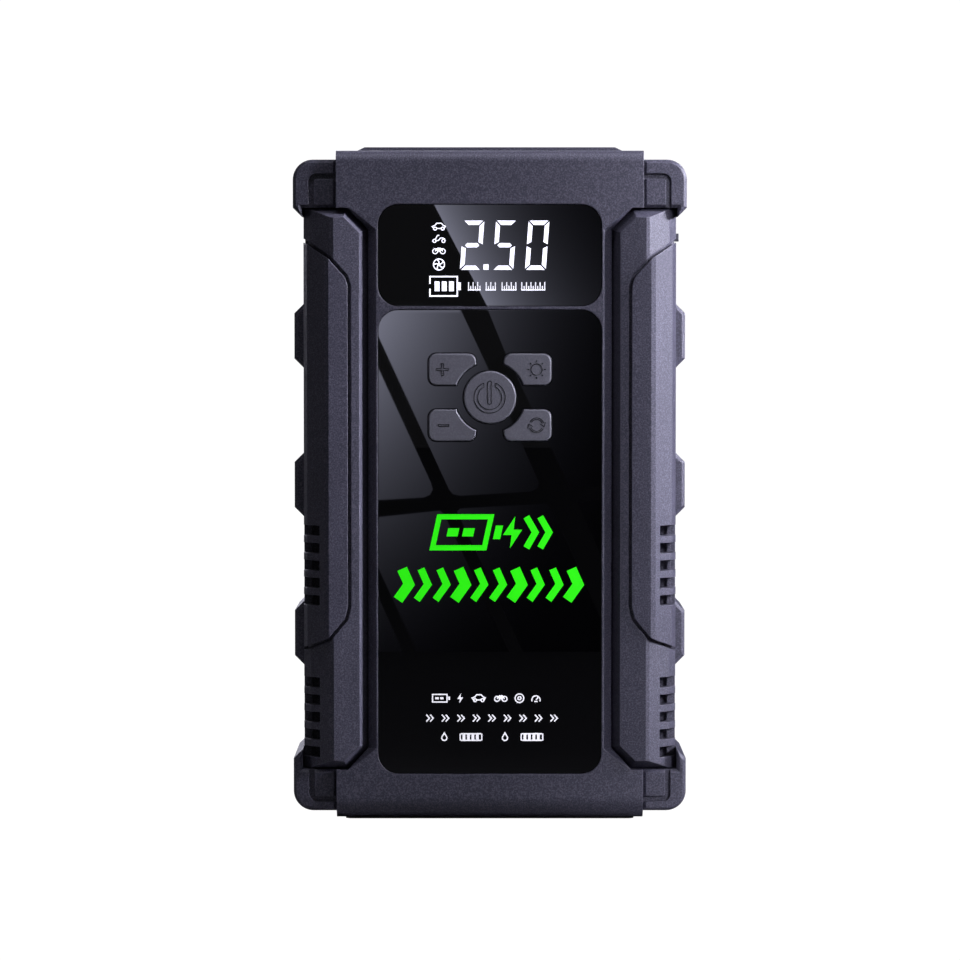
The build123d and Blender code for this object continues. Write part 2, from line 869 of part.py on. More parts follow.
def cap_outline():
    """Front outline of the two corner caps, where they come forward past the fairing's ends."""
    edge = fairing_side + joint_gap
    bulge = guard_half_width - edge
    low = fairing_bottom + cap_reach
    high = fairing_top + cap_step
    with BuildSketch() as outline:
        Polygon(
            (case_half_width, high), (edge, high), (edge, high - bulge), (guard_half_width, high),
            (guard_half_width, guard_top), (case_half_width, guard_top), align=None,
        )
        Polygon(
            (case_half_width, guard_bottom), (guard_half_width, guard_bottom), (guard_half_width, low),
            (edge, low + bulge), (edge, fairing_bottom - cap_step),
            (case_half_width, fairing_bottom - cap_step), align=None,
        )
        outer = outline.vertices().group_by(Axis.X)[-1]
        corners = [outer.sort_by(Axis.Y)[0], outer.sort_by(Axis.Y)[-1]]
        fillet(corners, radius=guard_corner)
    return outline.sketch


with BuildPart() as guard_blank:
    with BuildSketch(at_y(guard_rear - guard_edge)):
        add(guard_outline())
    extrude(amount=guard_rear - guard_front - 2 * guard_edge)
    with BuildSketch(at_y(guard_front + guard_edge)):
        add(guard_outline())
    extrude(amount=guard_edge, taper=45)
    with BuildSketch(Plane.XZ.offset(guard_edge - guard_rear)):
        add(guard_outline())
    extrude(amount=-guard_edge, taper=45)
    with BuildSketch(at_y(guard_front + guard_edge)):
        add(cap_outline())
    extrude(amount=guard_front - cap_front)
    with BuildSketch(at_y(cap_front + guard_edge)):
        add(cap_outline())
    extrude(amount=guard_edge, taper=45)
    # Angular grooves in the two caps
    for corner_z, end_z in (
        (guard_top - groove_drop, fairing_top - 4), (guard_bottom + groove_rise, fairing_bottom + 4),
    ):
        with BuildSketch(at_y(cap_front + groove_depth)):
            with BuildLine():
                FilletPolyline(
                    (case_half_width - 2, corner_z), (guard_half_width - groove_in, corner_z),
                    (guard_half_width - groove_in, end_z), radius=groove_bend,
                )
            trace(line_width=groove_width)
        extrude(amount=groove_depth + 1, mode=Mode.SUBTRACT)
    # Hollow towards the casing, with two screw posts
    block(
        case_half_width - 1, guard_side - guard_wall, guard_front + guard_wall + 1, guard_rear - guard_wall,
        guard_bottom + guard_wall, guard_top - guard_wall, mode=Mode.SUBTRACT,
    )
    for z in guard_screw_heights:
        rod_x(guard_screw_y, z, boss_radius, case_half_width, guard_side - guard_wall + 0.5)
        rod_x(
            guard_screw_y, z, screw_radius, case_half_width, case_half_width + guard_screw_grip,
            mode=Mode.SUBTRACT,
        )

with BuildPart() as left_guard:
    mirror(guard_blank.part, about=Plane.YZ)
finish(left_guard, "left_guard")

with BuildPart() as right_guard:
    add(guard_blank.part)
    block(
        lid_inner_x - 1, guard_side + 1,
        socket_y - socket_lid_half_depth - lid_gap, socket_y + socket_lid_half_depth + lid_gap,
        socket_z - socket_lid_half_height - lid_gap, socket_z + socket_lid_half_height + lid_gap,
        mode=Mode.SUBTRACT,
    )
    rod_z(
        side_hinge_x, side_hinge_y, hinge_room,
        socket_z - socket_lid_half_height - lid_gap, socket_z + socket_lid_half_height + lid_gap,
        mode=Mode.SUBTRACT,
    )
    rod_z(
        side_hinge_x, side_hinge_y, hinge_pin,
        side_pin_bottom, side_pin_top, mode=Mode.SUBTRACT,
    )
finish(right_guard, "right_guard")

# ---------------------------------------------------------------- side port lid, its pin and the jump socket
with BuildPart() as side_port_cover:
    block(
        lid_inner_x, lid_outer_x, socket_y - socket_lid_half_depth, socket_y + socket_lid_half_depth,
        socket_z - socket_lid_half_height, socket_z + socket_lid_half_height,
    )
    outer_edges = side_port_cover.edges().group_by(Axis.X)[-1]
    chamfer(outer_edges, length=lid_chamfer)
    block(
        side_hinge_x - leaf_inner, side_hinge_x + leaf_outer,
        socket_y + socket_lid_half_depth - lid_overlap, side_hinge_y,
        socket_z - socket_lid_half_height, socket_z + socket_lid_half_height,
    )
    rod_z(
        side_hinge_x, side_hinge_y, hinge_barrel,
        socket_z - socket_lid_half_height, socket_z + socket_lid_half_height,
    )
    rod_z(
        side_hinge_x, side_hinge_y, hinge_pin + hinge_clearance,
        socket_z - socket_lid_half_height, socket_z + socket_lid_half_height, mode=Mode.SUBTRACT,
    )
    # Pull tab
    block(
        lid_outer_x - 0.5, lid_outer_x + tab_proud,
        socket_y - socket_lid_half_depth + tab_inset,
        socket_y - socket_lid_half_depth + tab_inset + tab_width,
        socket_z + tab_height - tab_half_height, socket_z + tab_height + tab_half_height,
    )
finish(side_port_cover, "side_port_cover")

with BuildPart() as side_cover_pin:
    rod_z(
        side_hinge_x, side_hinge_y, hinge_pin,
        side_pin_bottom, side_pin_top,
    )
finish(side_cover_pin, "side_cover_pin")

contact_places = [socket_y - contact_pitch / 2, socket_y + contact_pitch / 2]
contact_radius = contact_bore + contact_wall
contact_back_end = socket_face - contact_length - contact_seat
with BuildPart() as jump_socket:
    block(
        socket_face - socket_length, socket_face + face_plate,
        socket_y - socket_half_depth, socket_y + socket_half_depth,
        socket_z - socket_half_height, socket_z + socket_half_height,
    )
    # Face plate behind the lid
    block(
        socket_face - 0.3, socket_face + face_plate,
        socket_y - socket_lid_half_depth - face_plate_front,
        socket_y + socket_lid_half_depth - face_plate_back,
        socket_z - socket_lid_half_height + face_plate_end,
        socket_z + socket_lid_half_height - face_plate_end,
    )
    block(
        socket_face - socket_mouth, socket_face + 2,
        socket_y - socket_half_depth + socket_rim, socket_y + socket_half_depth - socket_rim,
        socket_z - socket_half_height + socket_rim, socket_z + socket_half_height - socket_rim,
        mode=Mode.SUBTRACT,
    )
    for y in contact_places:
        rod_x(y, socket_z, contact_radius, contact_back_end, socket_face, mode=Mode.SUBTRACT)
        rod_x(y, socket_z, screw_radius, socket_face - socket_length, socket_face, mode=Mode.SUBTRACT)
finish(jump_socket, "jump_socket")

with BuildPart() as jump_contacts:
    for y in contact_places:
        rod_x(y, socket_z, contact_radius, contact_back_end, socket_face)
        rod_x(y, socket_z, screw_radius, socket_face - socket_length - 1, socket_face - contact_length)
        rod_x(y, socket_z, contact_bore, socket_face - contact_length, socket_face, mode=Mode.SUBTRACT)
finish(jump_contacts, "jump_contacts")

# ---------------------------------------------------------------- panels and keys
with BuildPart() as display_window:
    with BuildSketch(at_y(panel_front + panel_thick)):
        with Locations((0, display_z)):
            RectangleRounded(2 * panel_half_width, display_height, panel_corner)
    extrude(amount=panel_thick)
finish(display_window, "display_window")

with BuildPart() as control_panel:
    with BuildSketch(at_y(panel_front + panel_thick)):
        with Locations((0, panel_z)):
            RectangleRounded(2 * panel_half_width, panel_top - panel_bottom, panel_corner)
        add(key_openings(key_clearance), mode=Mode.SUBTRACT)
    extrude(amount=panel_thick)
finish(control_panel, "control_panel")

key_front = panel_front - key_proud
flange_front = front_inside + key_air
flange_back = flange_front + key_flange_thick
switch_top = board_y - switch_height
stem_back = switch_top - key_travel - key_air
corner_keys = {
    "plus_button": (-1, 1),
    "minus_button": (-1, -1),
    "light_button": (1, 1),
    "mode_button": (1, -1),
}
for name, (side_x, side_z) in corner_keys.items():
    with BuildPart() as corner_key:
        with BuildSketch(at_y(flange_front)):
            add(key_shape(side_x, side_z, 0))
        extrude(amount=flange_front - key_front)
        fillet(corner_key.edges().group_by(Axis.Y)[0], radius=key_edge)
        with BuildSketch(at_y(flange_back)):
            add(key_shape(side_x, side_z, key_flange))
        extrude(amount=key_flange_thick)
        rod_y(side_x * key_centre_x, power_z + side_z * key_centre_z, key_stem_radius, flange_back, stem_back)
    finish(corner_key, name)

with BuildPart() as power_button:
    rod_y(0, power_z, power_radius, key_front, flange_front)
    fillet(power_button.edges().group_by(Axis.Y)[0], radius=key_edge)
    rod_y(0, power_z, power_radius + key_flange, flange_front, flange_back)
    rod_y(0, power_z, key_stem_radius, flange_back, stem_back)
finish(power_button, "power_button")

# ---------------------------------------------------------------- electronics behind the front
with BuildPart() as display_module:
    block(
        -module_half_width, module_half_width, front_inside, board_y,
        display_z - module_height / 2, display_z + module_height / 2,
    )
    fillet(display_module.edges().filter_by(Axis.Y), radius=module_corner)
finish(display_module, "display_module")

with BuildPart() as main_board:
    block(-board_half_width, board_half_width, board_y, board_y + board_thick, board_bottom, board_top)
    for x, z in board_screw_places:
        rod_y(x, z, small_hole, board_y - 1, board_y + board_thick + 1, mode=Mode.SUBTRACT)
finish(main_board, "main_board")

switch_places = [(0, power_z)]
for side_x, side_z in corner_keys.values():
    switch_places.append((side_x * key_centre_x, power_z + side_z * key_centre_z))
with BuildPart() as key_switches:
    for x, z in switch_places:
        block(
            x - switch_size / 2, x + switch_size / 2, board_y - switch_body, board_y,
            z - switch_size / 2, z + switch_size / 2,
        )
        rod_y(x, z, plunger_radius, switch_top, board_y - 0.5)
finish(key_switches, "key_switches")

with BuildPart() as heat_sink:
    sink_bottom = power_z + heat_sink_rise
    sink_top = sink_bottom + heat_sink_height
    block(
        heat_sink_left, heat_sink_right, board_back, board_back + heat_sink_base, sink_bottom, sink_top,
    )
    fin_step = (heat_sink_right - heat_sink_left - 2 * fin_thick) / (heat_sink_fins - 1)
    for fin in range(heat_sink_fins):
        x = heat_sink_left + fin_thick / 2 + fin * fin_step
        block(x, x + fin_thick, board_back, board_back + heat_sink_depth, sink_bottom, sink_top)
finish(heat_sink, "heat_sink")

with BuildPart() as controller_chip:
    block(
        chip_left, chip_left + chip_size, board_back, board_back + chip_thick,
        power_z + chip_rise, power_z + chip_rise + chip_size,
    )
    chamfer(controller_chip.edges().group_by(Axis.Y)[-1], length=0.3)
finish(controller_chip, "controller_chip")

# ---------------------------------------------------------------- battery
for number in range(cell_count):
    cell_front = battery_front + number * (cell_thick + cell_gap)
    with BuildPart() as battery_cell:
        block(
            battery_left, battery_right, cell_front, cell_front + cell_thick, battery_bottom, battery_top,
        )
        fillet(battery_cell.edges().filter_by(Axis.Z), radius=cell_edge)
    finish(battery_cell, f"battery_cell_{number + 1}")

with BuildPart() as battery_tray:
    block(
        battery_left - tray_wall, battery_right + tray_wall,
        battery_front - tray_wall, battery_back + tray_wall,
        floor_inside, battery_bottom + tray_height,
    )
    block(
        battery_left, battery_right, battery_front, battery_back, battery_bottom, far, mode=Mode.SUBTRACT,
    )
finish(battery_tray, "battery_tray")

strip_left = battery_left + strip_inset
strip_right = strip_left + strip_width
contact_back = socket_face - socket_length - 1
strip_runs = {
    "positive_busbar": (contact_places[0], battery_front + 3.0, 6.0),
    "negative_busbar": (contact_places[1], battery_back - 8.0, -2.0),
}
for name, (contact_y, strip_y, foot) in strip_runs.items():
    with BuildPart() as busbar:
        foot_ends = sorted((strip_y, strip_y + foot))
        block(
            strip_left, strip_right, foot_ends[0], foot_ends[1] + strip_thick,
            battery_top, battery_top + strip_thick,
        )
        block(strip_left, strip_right, strip_y, strip_y + strip_thick, battery_top, socket_z + strip_half)
        block(
            strip_left, contact_back, strip_y, strip_y + strip_thick,
            socket_z - strip_half, socket_z + strip_half,
        )
        pad_ends = sorted((strip_y, contact_y))
        block(
            contact_back - strip_thick, contact_back, pad_ends[0] - 1, pad_ends[1] + 1,
            socket_z - strip_half, socket_z + strip_half,
        )
    finish(busbar, name)

# ---------------------------------------------------------------- compressor
with BuildPart() as motor:
    rod_y(compressor_x, motor_z, motor_radius, frame_y - motor_length, frame_y)
    fillet(motor.edges().filter_by(GeomType.CIRCLE), radius=1.0)
    motor_nose = frame_y - motor_length - motor_boss
    rod_y(compressor_x, motor_z, motor_boss_radius, motor_nose, motor_nose + 2 * motor_boss)
    rod_y(
        compressor_x, motor_z, shaft_radius + axle_clearance, frame_y - motor_seat, frame_y + 1,
        mode=Mode.SUBTRACT,
    )
finish(motor, "motor")

with BuildPart() as motor_pinion:
    with BuildSketch(at_y(gear_back)):
        with Locations((compressor_x, motor_z)):
            add(gear_shape(pinion_teeth, 90))
    extrude(amount=gear_thick)
    rod_y(compressor_x, motor_z, shaft_radius, frame_y - motor_seat + 0.5, gear_back + 0.6)
finish(motor_pinion, "motor_pinion")

with BuildPart() as gear_frame:
    block(
        compressor_x - frame_half_width, ear_x + ear_edge, frame_y, frame_y + frame_thick,
        motor_z - frame_foot, cylinder_bottom,
    )
    for side in (-1, 1):
        inner = compressor_x + side * (frame_half_width - frame_arm)
        outer = compressor_x + side * frame_half_width
        block(
            min(inner, outer), max(inner, outer), frame_y, cylinder_y + bore_radius,
            cylinder_bottom - frame_arm_height, cylinder_bottom,
        )
    rod_y(
        compressor_x, motor_z, motor_boss_radius, frame_y - 1, frame_y + frame_thick + 1, mode=Mode.SUBTRACT,
    )
    rod_y(compressor_x, gear_z, axle_radius, frame_y - 1, frame_y + frame_thick + 1, mode=Mode.SUBTRACT)
    for z in ear_heights:
        rod_y(ear_x, z, small_hole, frame_y - 1, frame_y + frame_thick + 1, mode=Mode.SUBTRACT)
finish(gear_frame, "gear_frame")

with BuildPart() as gear_axle:
    rod_y(compressor_x, gear_z, axle_radius, frame_y, gear_back + 0.5)
    rod_y(compressor_x, gear_z, axle_radius + axle_head, gear_back + 0.1, gear_back + 0.9)
finish(gear_axle, "gear_axle")

with BuildPart() as crank_gear:
    with BuildSketch(at_y(gear_back)):
        with Locations((compressor_x, gear_z)):
            add(gear_shape(gear_teeth, 180 / gear_teeth))
            Circle(axle_radius + axle_clearance, mode=Mode.SUBTRACT)
        with Locations((compressor_x, gear_z)):
            with PolarLocations(0.64 * gear_radius, gear_hole_count, start_angle=-90):
                Circle(gear_hole, mode=Mode.SUBTRACT)
    extrude(amount=gear_thick)
    rod_y(compressor_x, gear_z + crank_radius, crank_pin_radius, gear_back - 1, crank_pin_end)
finish(crank_gear, "crank_gear")

with BuildPart() as piston_rod:
    rod_y(compressor_x, pin_z_high, rod_eye_radius, rod_front, rod_front + rod_thick)
    block(
        compressor_x - rod_half_width, compressor_x + rod_half_width, rod_front, rod_front + rod_thick,
        pin_z_high, piston_top_high - cup_height + 0.5,
    )
    rod_y(
        compressor_x, pin_z_high, crank_pin_radius + axle_clearance, rod_front - 1, rod_front + rod_thick + 1,
        mode=Mode.SUBTRACT,
    )
    rod_z(compressor_x, cylinder_y, piston_radius, piston_top_high - cup_height, piston_top_high)
finish(piston_rod, "piston_rod")

with BuildPart() as piston_cup:
    rod_z(
        compressor_x, cylinder_y, bore_radius - cup_clearance,
        piston_top_high - cup_height + 0.4, piston_top_high - 0.4,
    )
    rod_z(
        compressor_x, cylinder_y, piston_radius, piston_top_high - cup_height, piston_top_high,
        mode=Mode.SUBTRACT,
    )
finish(piston_cup, "piston_cup")

with BuildPart() as cylinder:
    rod_z(compressor_x, cylinder_y, bore_radius + cylinder_wall, cylinder_bottom, cylinder_top)
    block(
        compressor_x - frame_half_width, compressor_x + frame_half_width,
        frame_y, cylinder_y + fin_radius, cylinder_bottom, cylinder_bottom + cylinder_base,
    )
    for fin in range(1, 4):
        z = cylinder_bottom + fin * fin_pitch
        rod_z(compressor_x, cylinder_y, fin_radius, z, z + fin_height)
    rod_z(compressor_x, cylinder_y, bore_radius, cylinder_bottom - 1, cylinder_top + 1, mode=Mode.SUBTRACT)
finish(cylinder, "cylinder")

head_top = cylinder_top + head_height
with BuildPart() as cylinder_head:
    with BuildSketch(Plane.XY.offset(cylinder_top)):
        with Locations((compressor_x, cylinder_y)):
            RectangleRounded(2 * fin_radius, 2 * fin_radius, head_corner)
    extrude(amount=head_height)
    chamfer(cylinder_head.edges().group_by(Axis.Z)[-1], length=head_chamfer)
    rod_z(compressor_x, cylinder_y, tube_bore, head_top - 1, head_top + nipple_length)
    rod_z(
        compressor_x, cylinder_y, nipple_bore, cylinder_top - 1, head_top + nipple_length + 1,
        mode=Mode.SUBTRACT,
    )
finish(cylinder_head, "cylinder_head")

outlet_bottom = outlet_top - outlet_length
with BuildPart() as air_outlet:
    rod_z(outlet_x, 0, outlet_radius, outlet_bottom, outlet_top)
    chamfer(air_outlet.edges().group_by(Axis.Z)[-1], length=0.5)
    rod_z(outlet_x, 0, tube_bore, outlet_bottom - nipple_length, outlet_bottom + 1)
    rod_z(outlet_x, 0, outlet_bore, outlet_top - outlet_depth, outlet_top + 1, mode=Mode.SUBTRACT)
    rod_z(outlet_x, 0, nipple_bore, outlet_bottom - nipple_length - 1, outlet_top, mode=Mode.SUBTRACT)
finish(air_outlet, "air_outlet")

tube_rise = (outlet_bottom - head_top) / 3
with BuildPart() as air_tube:
    with BuildLine() as tube_path:
        FilletPolyline(
            (compressor_x, cylinder_y, head_top),
            (compressor_x, cylinder_y, head_top + tube_rise),
            (outlet_x, 0, outlet_bottom - tube_rise),
            (outlet_x, 0, outlet_bottom),
            radius=tube_bend,
        )
    with BuildSketch(Plane.XY.offset(head_top)):
        with Locations((compressor_x, cylinder_y)):
            Circle(tube_radius)
            Circle(tube_bore, mode=Mode.SUBTRACT)
    sweep(path=tube_path.line)
finish(air_tube, "air_tube")

# ---------------------------------------------------------------- top cap with torch, USB ports and outlet
torch_lens_top = cap_top - torch_lens_drop
torch_lens_bottom = torch_lens_top - torch_lens_thick
reflector_radius = torch_radius - torch_seat
usb_floor = cap_top - lid_thick - 0.3
usb_board_y = usb_a_depth / 2 + usb_board_gap
with BuildPart() as top_cap:
    with BuildSketch(at_y(cap_half_depth)):
        Polygon(
            (-cap_half_width - cap_end_slope, roof_inside), (cap_half_width + cap_end_slope, roof_inside),
            (cap_half_width + cap_end_slope, case_height), (cap_half_width, cap_top),
            (-cap_half_width, cap_top), (-cap_half_width - cap_end_slope, case_height), align=None,
        )
    extrude(amount=2 * cap_half_depth)
    block(
        -cap_half_width - cap_end_slope - cap_lap, cap_half_width + cap_end_slope + cap_lap,
        -cap_half_depth - cap_lap, cap_half_depth + cap_lap, cap_bottom, roof_inside,
    )
    # Torch seat
    rod_z(torch_x, 0, torch_radius, torch_lens_bottom, cap_top + 1, mode=Mode.SUBTRACT)
    rod_z(torch_x, 0, reflector_radius, cap_bottom - 1, cap_top, mode=Mode.SUBTRACT)
    # Air outlet
    rod_z(outlet_x, 0, outlet_radius, cap_bottom - 1, cap_top + 1, mode=Mode.SUBTRACT)
    # Lid pocket, its hinge and the two ports
    block(
        -usb_lid_half_width - lid_gap, usb_lid_half_width + lid_gap,
        -usb_lid_half_depth - lid_gap, usb_lid_half_depth + lid_gap, usb_floor, cap_top + 1,
        mode=Mode.SUBTRACT,
    )
    rod_x(
        usb_hinge_y, usb_hinge_z, hinge_room, -usb_lid_half_width - lid_gap, usb_lid_half_width + lid_gap,
        mode=Mode.SUBTRACT,
    )
    rod_x(
        usb_hinge_y, usb_hinge_z, hinge_pin, -usb_pin_half, usb_pin_half,
        mode=Mode.SUBTRACT,
    )
    for x, width, depth in ((usb_a_x, usb_a_width, usb_a_depth), (usb_c_x, usb_c_width, usb_c_depth)):
        block(
            x - width / 2 - usb_gap, x + width / 2 + usb_gap,
            usb_board_y - depth - usb_gap, usb_board_y + usb_gap, cap_bottom - 1, cap_top,
            mode=Mode.SUBTRACT,
        )
finish(top_cap, "top_cap")

with BuildPart() as torch_lens:
    rod_z(torch_x, 0, torch_radius, torch_lens_bottom, torch_lens_top)
    chamfer(torch_lens.edges().group_by(Axis.Z)[-1], length=0.3)
finish(torch_lens, "torch_lens")

with BuildPart() as torch_reflector:
    rod_z(torch_x, 0, reflector_radius, torch_lens_bottom - torch_depth, torch_lens_bottom)
    with Locations((torch_x, 0, torch_lens_bottom - torch_depth / 2)):
        Cone(torch_hole, reflector_radius - torch_rim, torch_depth, mode=Mode.SUBTRACT)
finish(torch_reflector, "torch_reflector")

with BuildPart() as torch_board:
    board_level = torch_lens_bottom - torch_depth
    rod_z(torch_x, 0, reflector_radius, board_level - 1.2, board_level)
    block(
        torch_x - torch_led_half, torch_x + torch_led_half, -torch_led_half, torch_led_half,
        board_level - 0.5, board_level + 0.8,
    )
finish(torch_board, "torch_board")

with BuildPart() as usb_cover:
    block(
        -usb_lid_half_width, usb_lid_half_width, -usb_lid_half_depth, usb_lid_half_depth,
        cap_top - lid_thick, cap_top,
    )
    chamfer(usb_cover.edges().group_by(Axis.Z)[-1], length=lid_chamfer)
    block(
        -usb_lid_half_width, usb_lid_half_width, usb_lid_half_depth - lid_overlap, usb_hinge_y,
        usb_hinge_z - leaf_inner, usb_hinge_z + leaf_outer,
    )
    rod_x(usb_hinge_y, usb_hinge_z, hinge_barrel, -usb_lid_half_width, usb_lid_half_width)
    rod_x(
        usb_hinge_y, usb_hinge_z, hinge_pin + hinge_clearance, -usb_lid_half_width, usb_lid_half_width,
        mode=Mode.SUBTRACT,
    )
finish(usb_cover, "usb_cover")

with BuildPart() as usb_cover_pin:
    rod_x(usb_hinge_y, usb_hinge_z, hinge_pin, -usb_pin_half, usb_pin_half)
finish(usb_cover_pin, "usb_cover_pin")

usb_top = usb_floor - 0.3
with BuildPart() as usb_board:
    block(
        -usb_board_half_width, usb_board_half_width, usb_board_y, usb_board_y + board_thick,
        usb_top - usb_a_length - 2, cap_bottom - 0.3,
    )
finish(usb_board, "usb_board")

usb_ports = {
    "usb_a_socket": (usb_a_x, usb_a_width, usb_a_depth, usb_a_length, usb_a_tongue),
    "usb_c_socket": (usb_c_x, usb_c_width, usb_c_depth, usb_c_length, usb_c_tongue),
}
for name, (x, width, depth, length, tongue) in usb_ports.items():
    with BuildPart() as usb_socket:
        y = usb_board_y - depth / 2
        block(x - width / 2, x + width / 2, y - depth / 2, y + depth / 2, usb_top - length, usb_top)
        fillet(usb_socket.edges().filter_by(Axis.Z), radius=0.12 * width if depth < 4 else 0.5)
        block(
            x - width / 2 + usb_shell, x + width / 2 - usb_shell, y - depth / 2 + usb_shell,
            y + depth / 2 - usb_shell, usb_top - 0.75 * length, usb_top + 1, mode=Mode.SUBTRACT,
        )
        block(
            x - 0.36 * width, x + 0.36 * width, y - tongue / 2, y + tongue / 2,
            usb_top - 0.8 * length, usb_top - 0.6,
        )
    finish(usb_socket, name)

# ---------------------------------------------------------------- fasteners
with BuildPart() as casing_screws:
    for x, z in boss_places:
        screw(
            Location((x, boss_split + screw_seat, z), (-90, 0, 0)),
            screw_radius, screw_head_radius, screw_head_height, casing_screw_length,
        )
finish(casing_screws, "casing_screws")

with BuildPart() as guard_screws:
    for side in (-1, 1):
        for z in guard_screw_heights:
            screw(
                Location((side * case_inside, guard_screw_y, z), (0, -90 * side, 0)),
                screw_radius, screw_head_radius, guard_screw_head, case_wall + guard_screw_grip,
            )
finish(guard_screws, "guard_screws")

with BuildPart() as fairing_screws:
    for x, z in fairing_screw_places:
        screw(
            Location((x, step_inside, z), (-90, 0, 0)),
            small_screw, small_head, small_head_height, case_wall + fairing_screw_grip,
        )
finish(fairing_screws, "fairing_screws")

with BuildPart() as board_screws:
    for x, z in board_screw_places:
        screw(
            Location((x, board_back, z), (-90, 0, 0)),
            small_screw, small_head, small_head_height, board_thick + board_screw_grip,
        )
finish(board_screws, "board_screws")

with BuildPart() as compressor_screws:
    for z in ear_heights:
        screw(
            Location((ear_x, frame_y, z), (90, 0, 0)),
            small_screw, small_head, small_head_height, frame_thick + compressor_screw_grip,
        )
finish(compressor_screws, "compressor_screws")
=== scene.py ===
"""Jump starter pack: the finishes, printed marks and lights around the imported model."""
import bpy
import bmesh
import json
import math
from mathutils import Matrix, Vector


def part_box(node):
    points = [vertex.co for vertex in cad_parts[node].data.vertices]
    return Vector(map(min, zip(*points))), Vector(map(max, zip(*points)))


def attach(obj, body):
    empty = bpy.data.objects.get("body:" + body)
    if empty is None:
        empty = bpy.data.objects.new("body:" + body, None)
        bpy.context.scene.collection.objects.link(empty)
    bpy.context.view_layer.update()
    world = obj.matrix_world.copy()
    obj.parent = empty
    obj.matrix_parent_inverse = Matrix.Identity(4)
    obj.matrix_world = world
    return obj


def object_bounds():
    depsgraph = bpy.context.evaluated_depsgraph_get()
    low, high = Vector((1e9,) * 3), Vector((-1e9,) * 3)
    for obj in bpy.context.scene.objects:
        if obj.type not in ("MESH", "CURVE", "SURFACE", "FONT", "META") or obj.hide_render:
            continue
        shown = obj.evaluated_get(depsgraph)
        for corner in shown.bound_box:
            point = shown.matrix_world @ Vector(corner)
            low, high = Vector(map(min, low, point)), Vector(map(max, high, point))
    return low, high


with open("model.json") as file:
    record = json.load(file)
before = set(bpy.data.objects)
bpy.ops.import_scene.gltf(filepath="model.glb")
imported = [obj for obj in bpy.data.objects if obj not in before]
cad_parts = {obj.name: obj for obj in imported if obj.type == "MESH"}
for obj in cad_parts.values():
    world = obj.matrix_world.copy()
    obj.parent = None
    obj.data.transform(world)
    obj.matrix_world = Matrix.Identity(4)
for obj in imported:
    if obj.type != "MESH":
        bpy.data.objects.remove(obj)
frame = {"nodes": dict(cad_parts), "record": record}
cad_low, cad_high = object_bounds()
nodes = frame["nodes"]
mm = 0.001

# How far a mark stands proud of its surface, and how many steps draw a full round mark
PRINT_DEPTH = 0.05 * mm
ROUND_STEPS = 40


# ---------------------------------------------------------------- shader groups
def new_group(name, inputs, outputs):
    """A shader node group with named sockets; each is (name, kind, default)."""
    group = bpy.data.node_groups.new(name, "ShaderNodeTree")
    for side, sockets in (("INPUT", inputs), ("OUTPUT", outputs)):
        for label, kind, default in sockets:
            socket = group.interface.new_socket(label, in_out=side, socket_type="NodeSocket" + kind)
            if default is not None:
                socket.default_value = default
    return group, group.nodes.new("NodeGroupInput"), group.nodes.new("NodeGroupOutput")


def math_node(tree, operation, first, second=None, clamp=False):
    """A math node; first and second are sockets or numbers."""
    node = tree.nodes.new("ShaderNodeMath")
    node.operation = operation
    node.use_clamp = clamp
    for slot, value in ((0, first), (1, second)):
        if value is None:
            continue
        if isinstance(value, bpy.types.NodeSocket):
            tree.links.new(value, node.inputs[slot])
        else:
            node.inputs[slot].default_value = value
    return node.outputs[0]


def mix_colors(tree, share, first, second):
    """A colour mix of two sockets or colours."""
    node = tree.nodes.new("ShaderNodeMix")
    node.data_type = "RGBA"
    for slot, value in ((0, share), (6, first), (7, second)):
        if isinstance(value, bpy.types.NodeSocket):
            tree.links.new(value, node.inputs[slot])
        else:
            node.inputs[slot].default_value = value
    return node.outputs[2]


def noise_node(tree, scale, detail=2.0, stretch=None):
    """Noise in the piece's own coordinates; scale is a socket or a number of cells per metre."""
    place = tree.nodes.new("ShaderNodeTexCoord")
    source = place.outputs["Object"]
    if stretch:
        mapping = tree.nodes.new("ShaderNodeMapping")
        mapping.inputs["Scale"].default_value = stretch
        tree.links.new(source, mapping.inputs["Vector"])
        source = mapping.outputs["Vector"]
    noise = tree.nodes.new("ShaderNodeTexNoise")
    noise.inputs["Detail"].default_value = detail
    tree.links.new(source, noise.inputs["Vector"])
    if isinstance(scale, bpy.types.NodeSocket):
        tree.links.new(scale, noise.inputs["Scale"])
    else:
        noise.inputs["Scale"].default_value = scale
    return noise.outputs["Fac"]


def sharpen(tree, value, low, high):
    """Stretches a value so that low becomes 0 and high becomes 1."""
    node = tree.nodes.new("ShaderNodeMapRange")
    node.inputs["From Min"].default_value = low
    node.inputs["From Max"].default_value = high
    tree.links.new(value, node.inputs["Value"])
    return node.outputs["Result"]


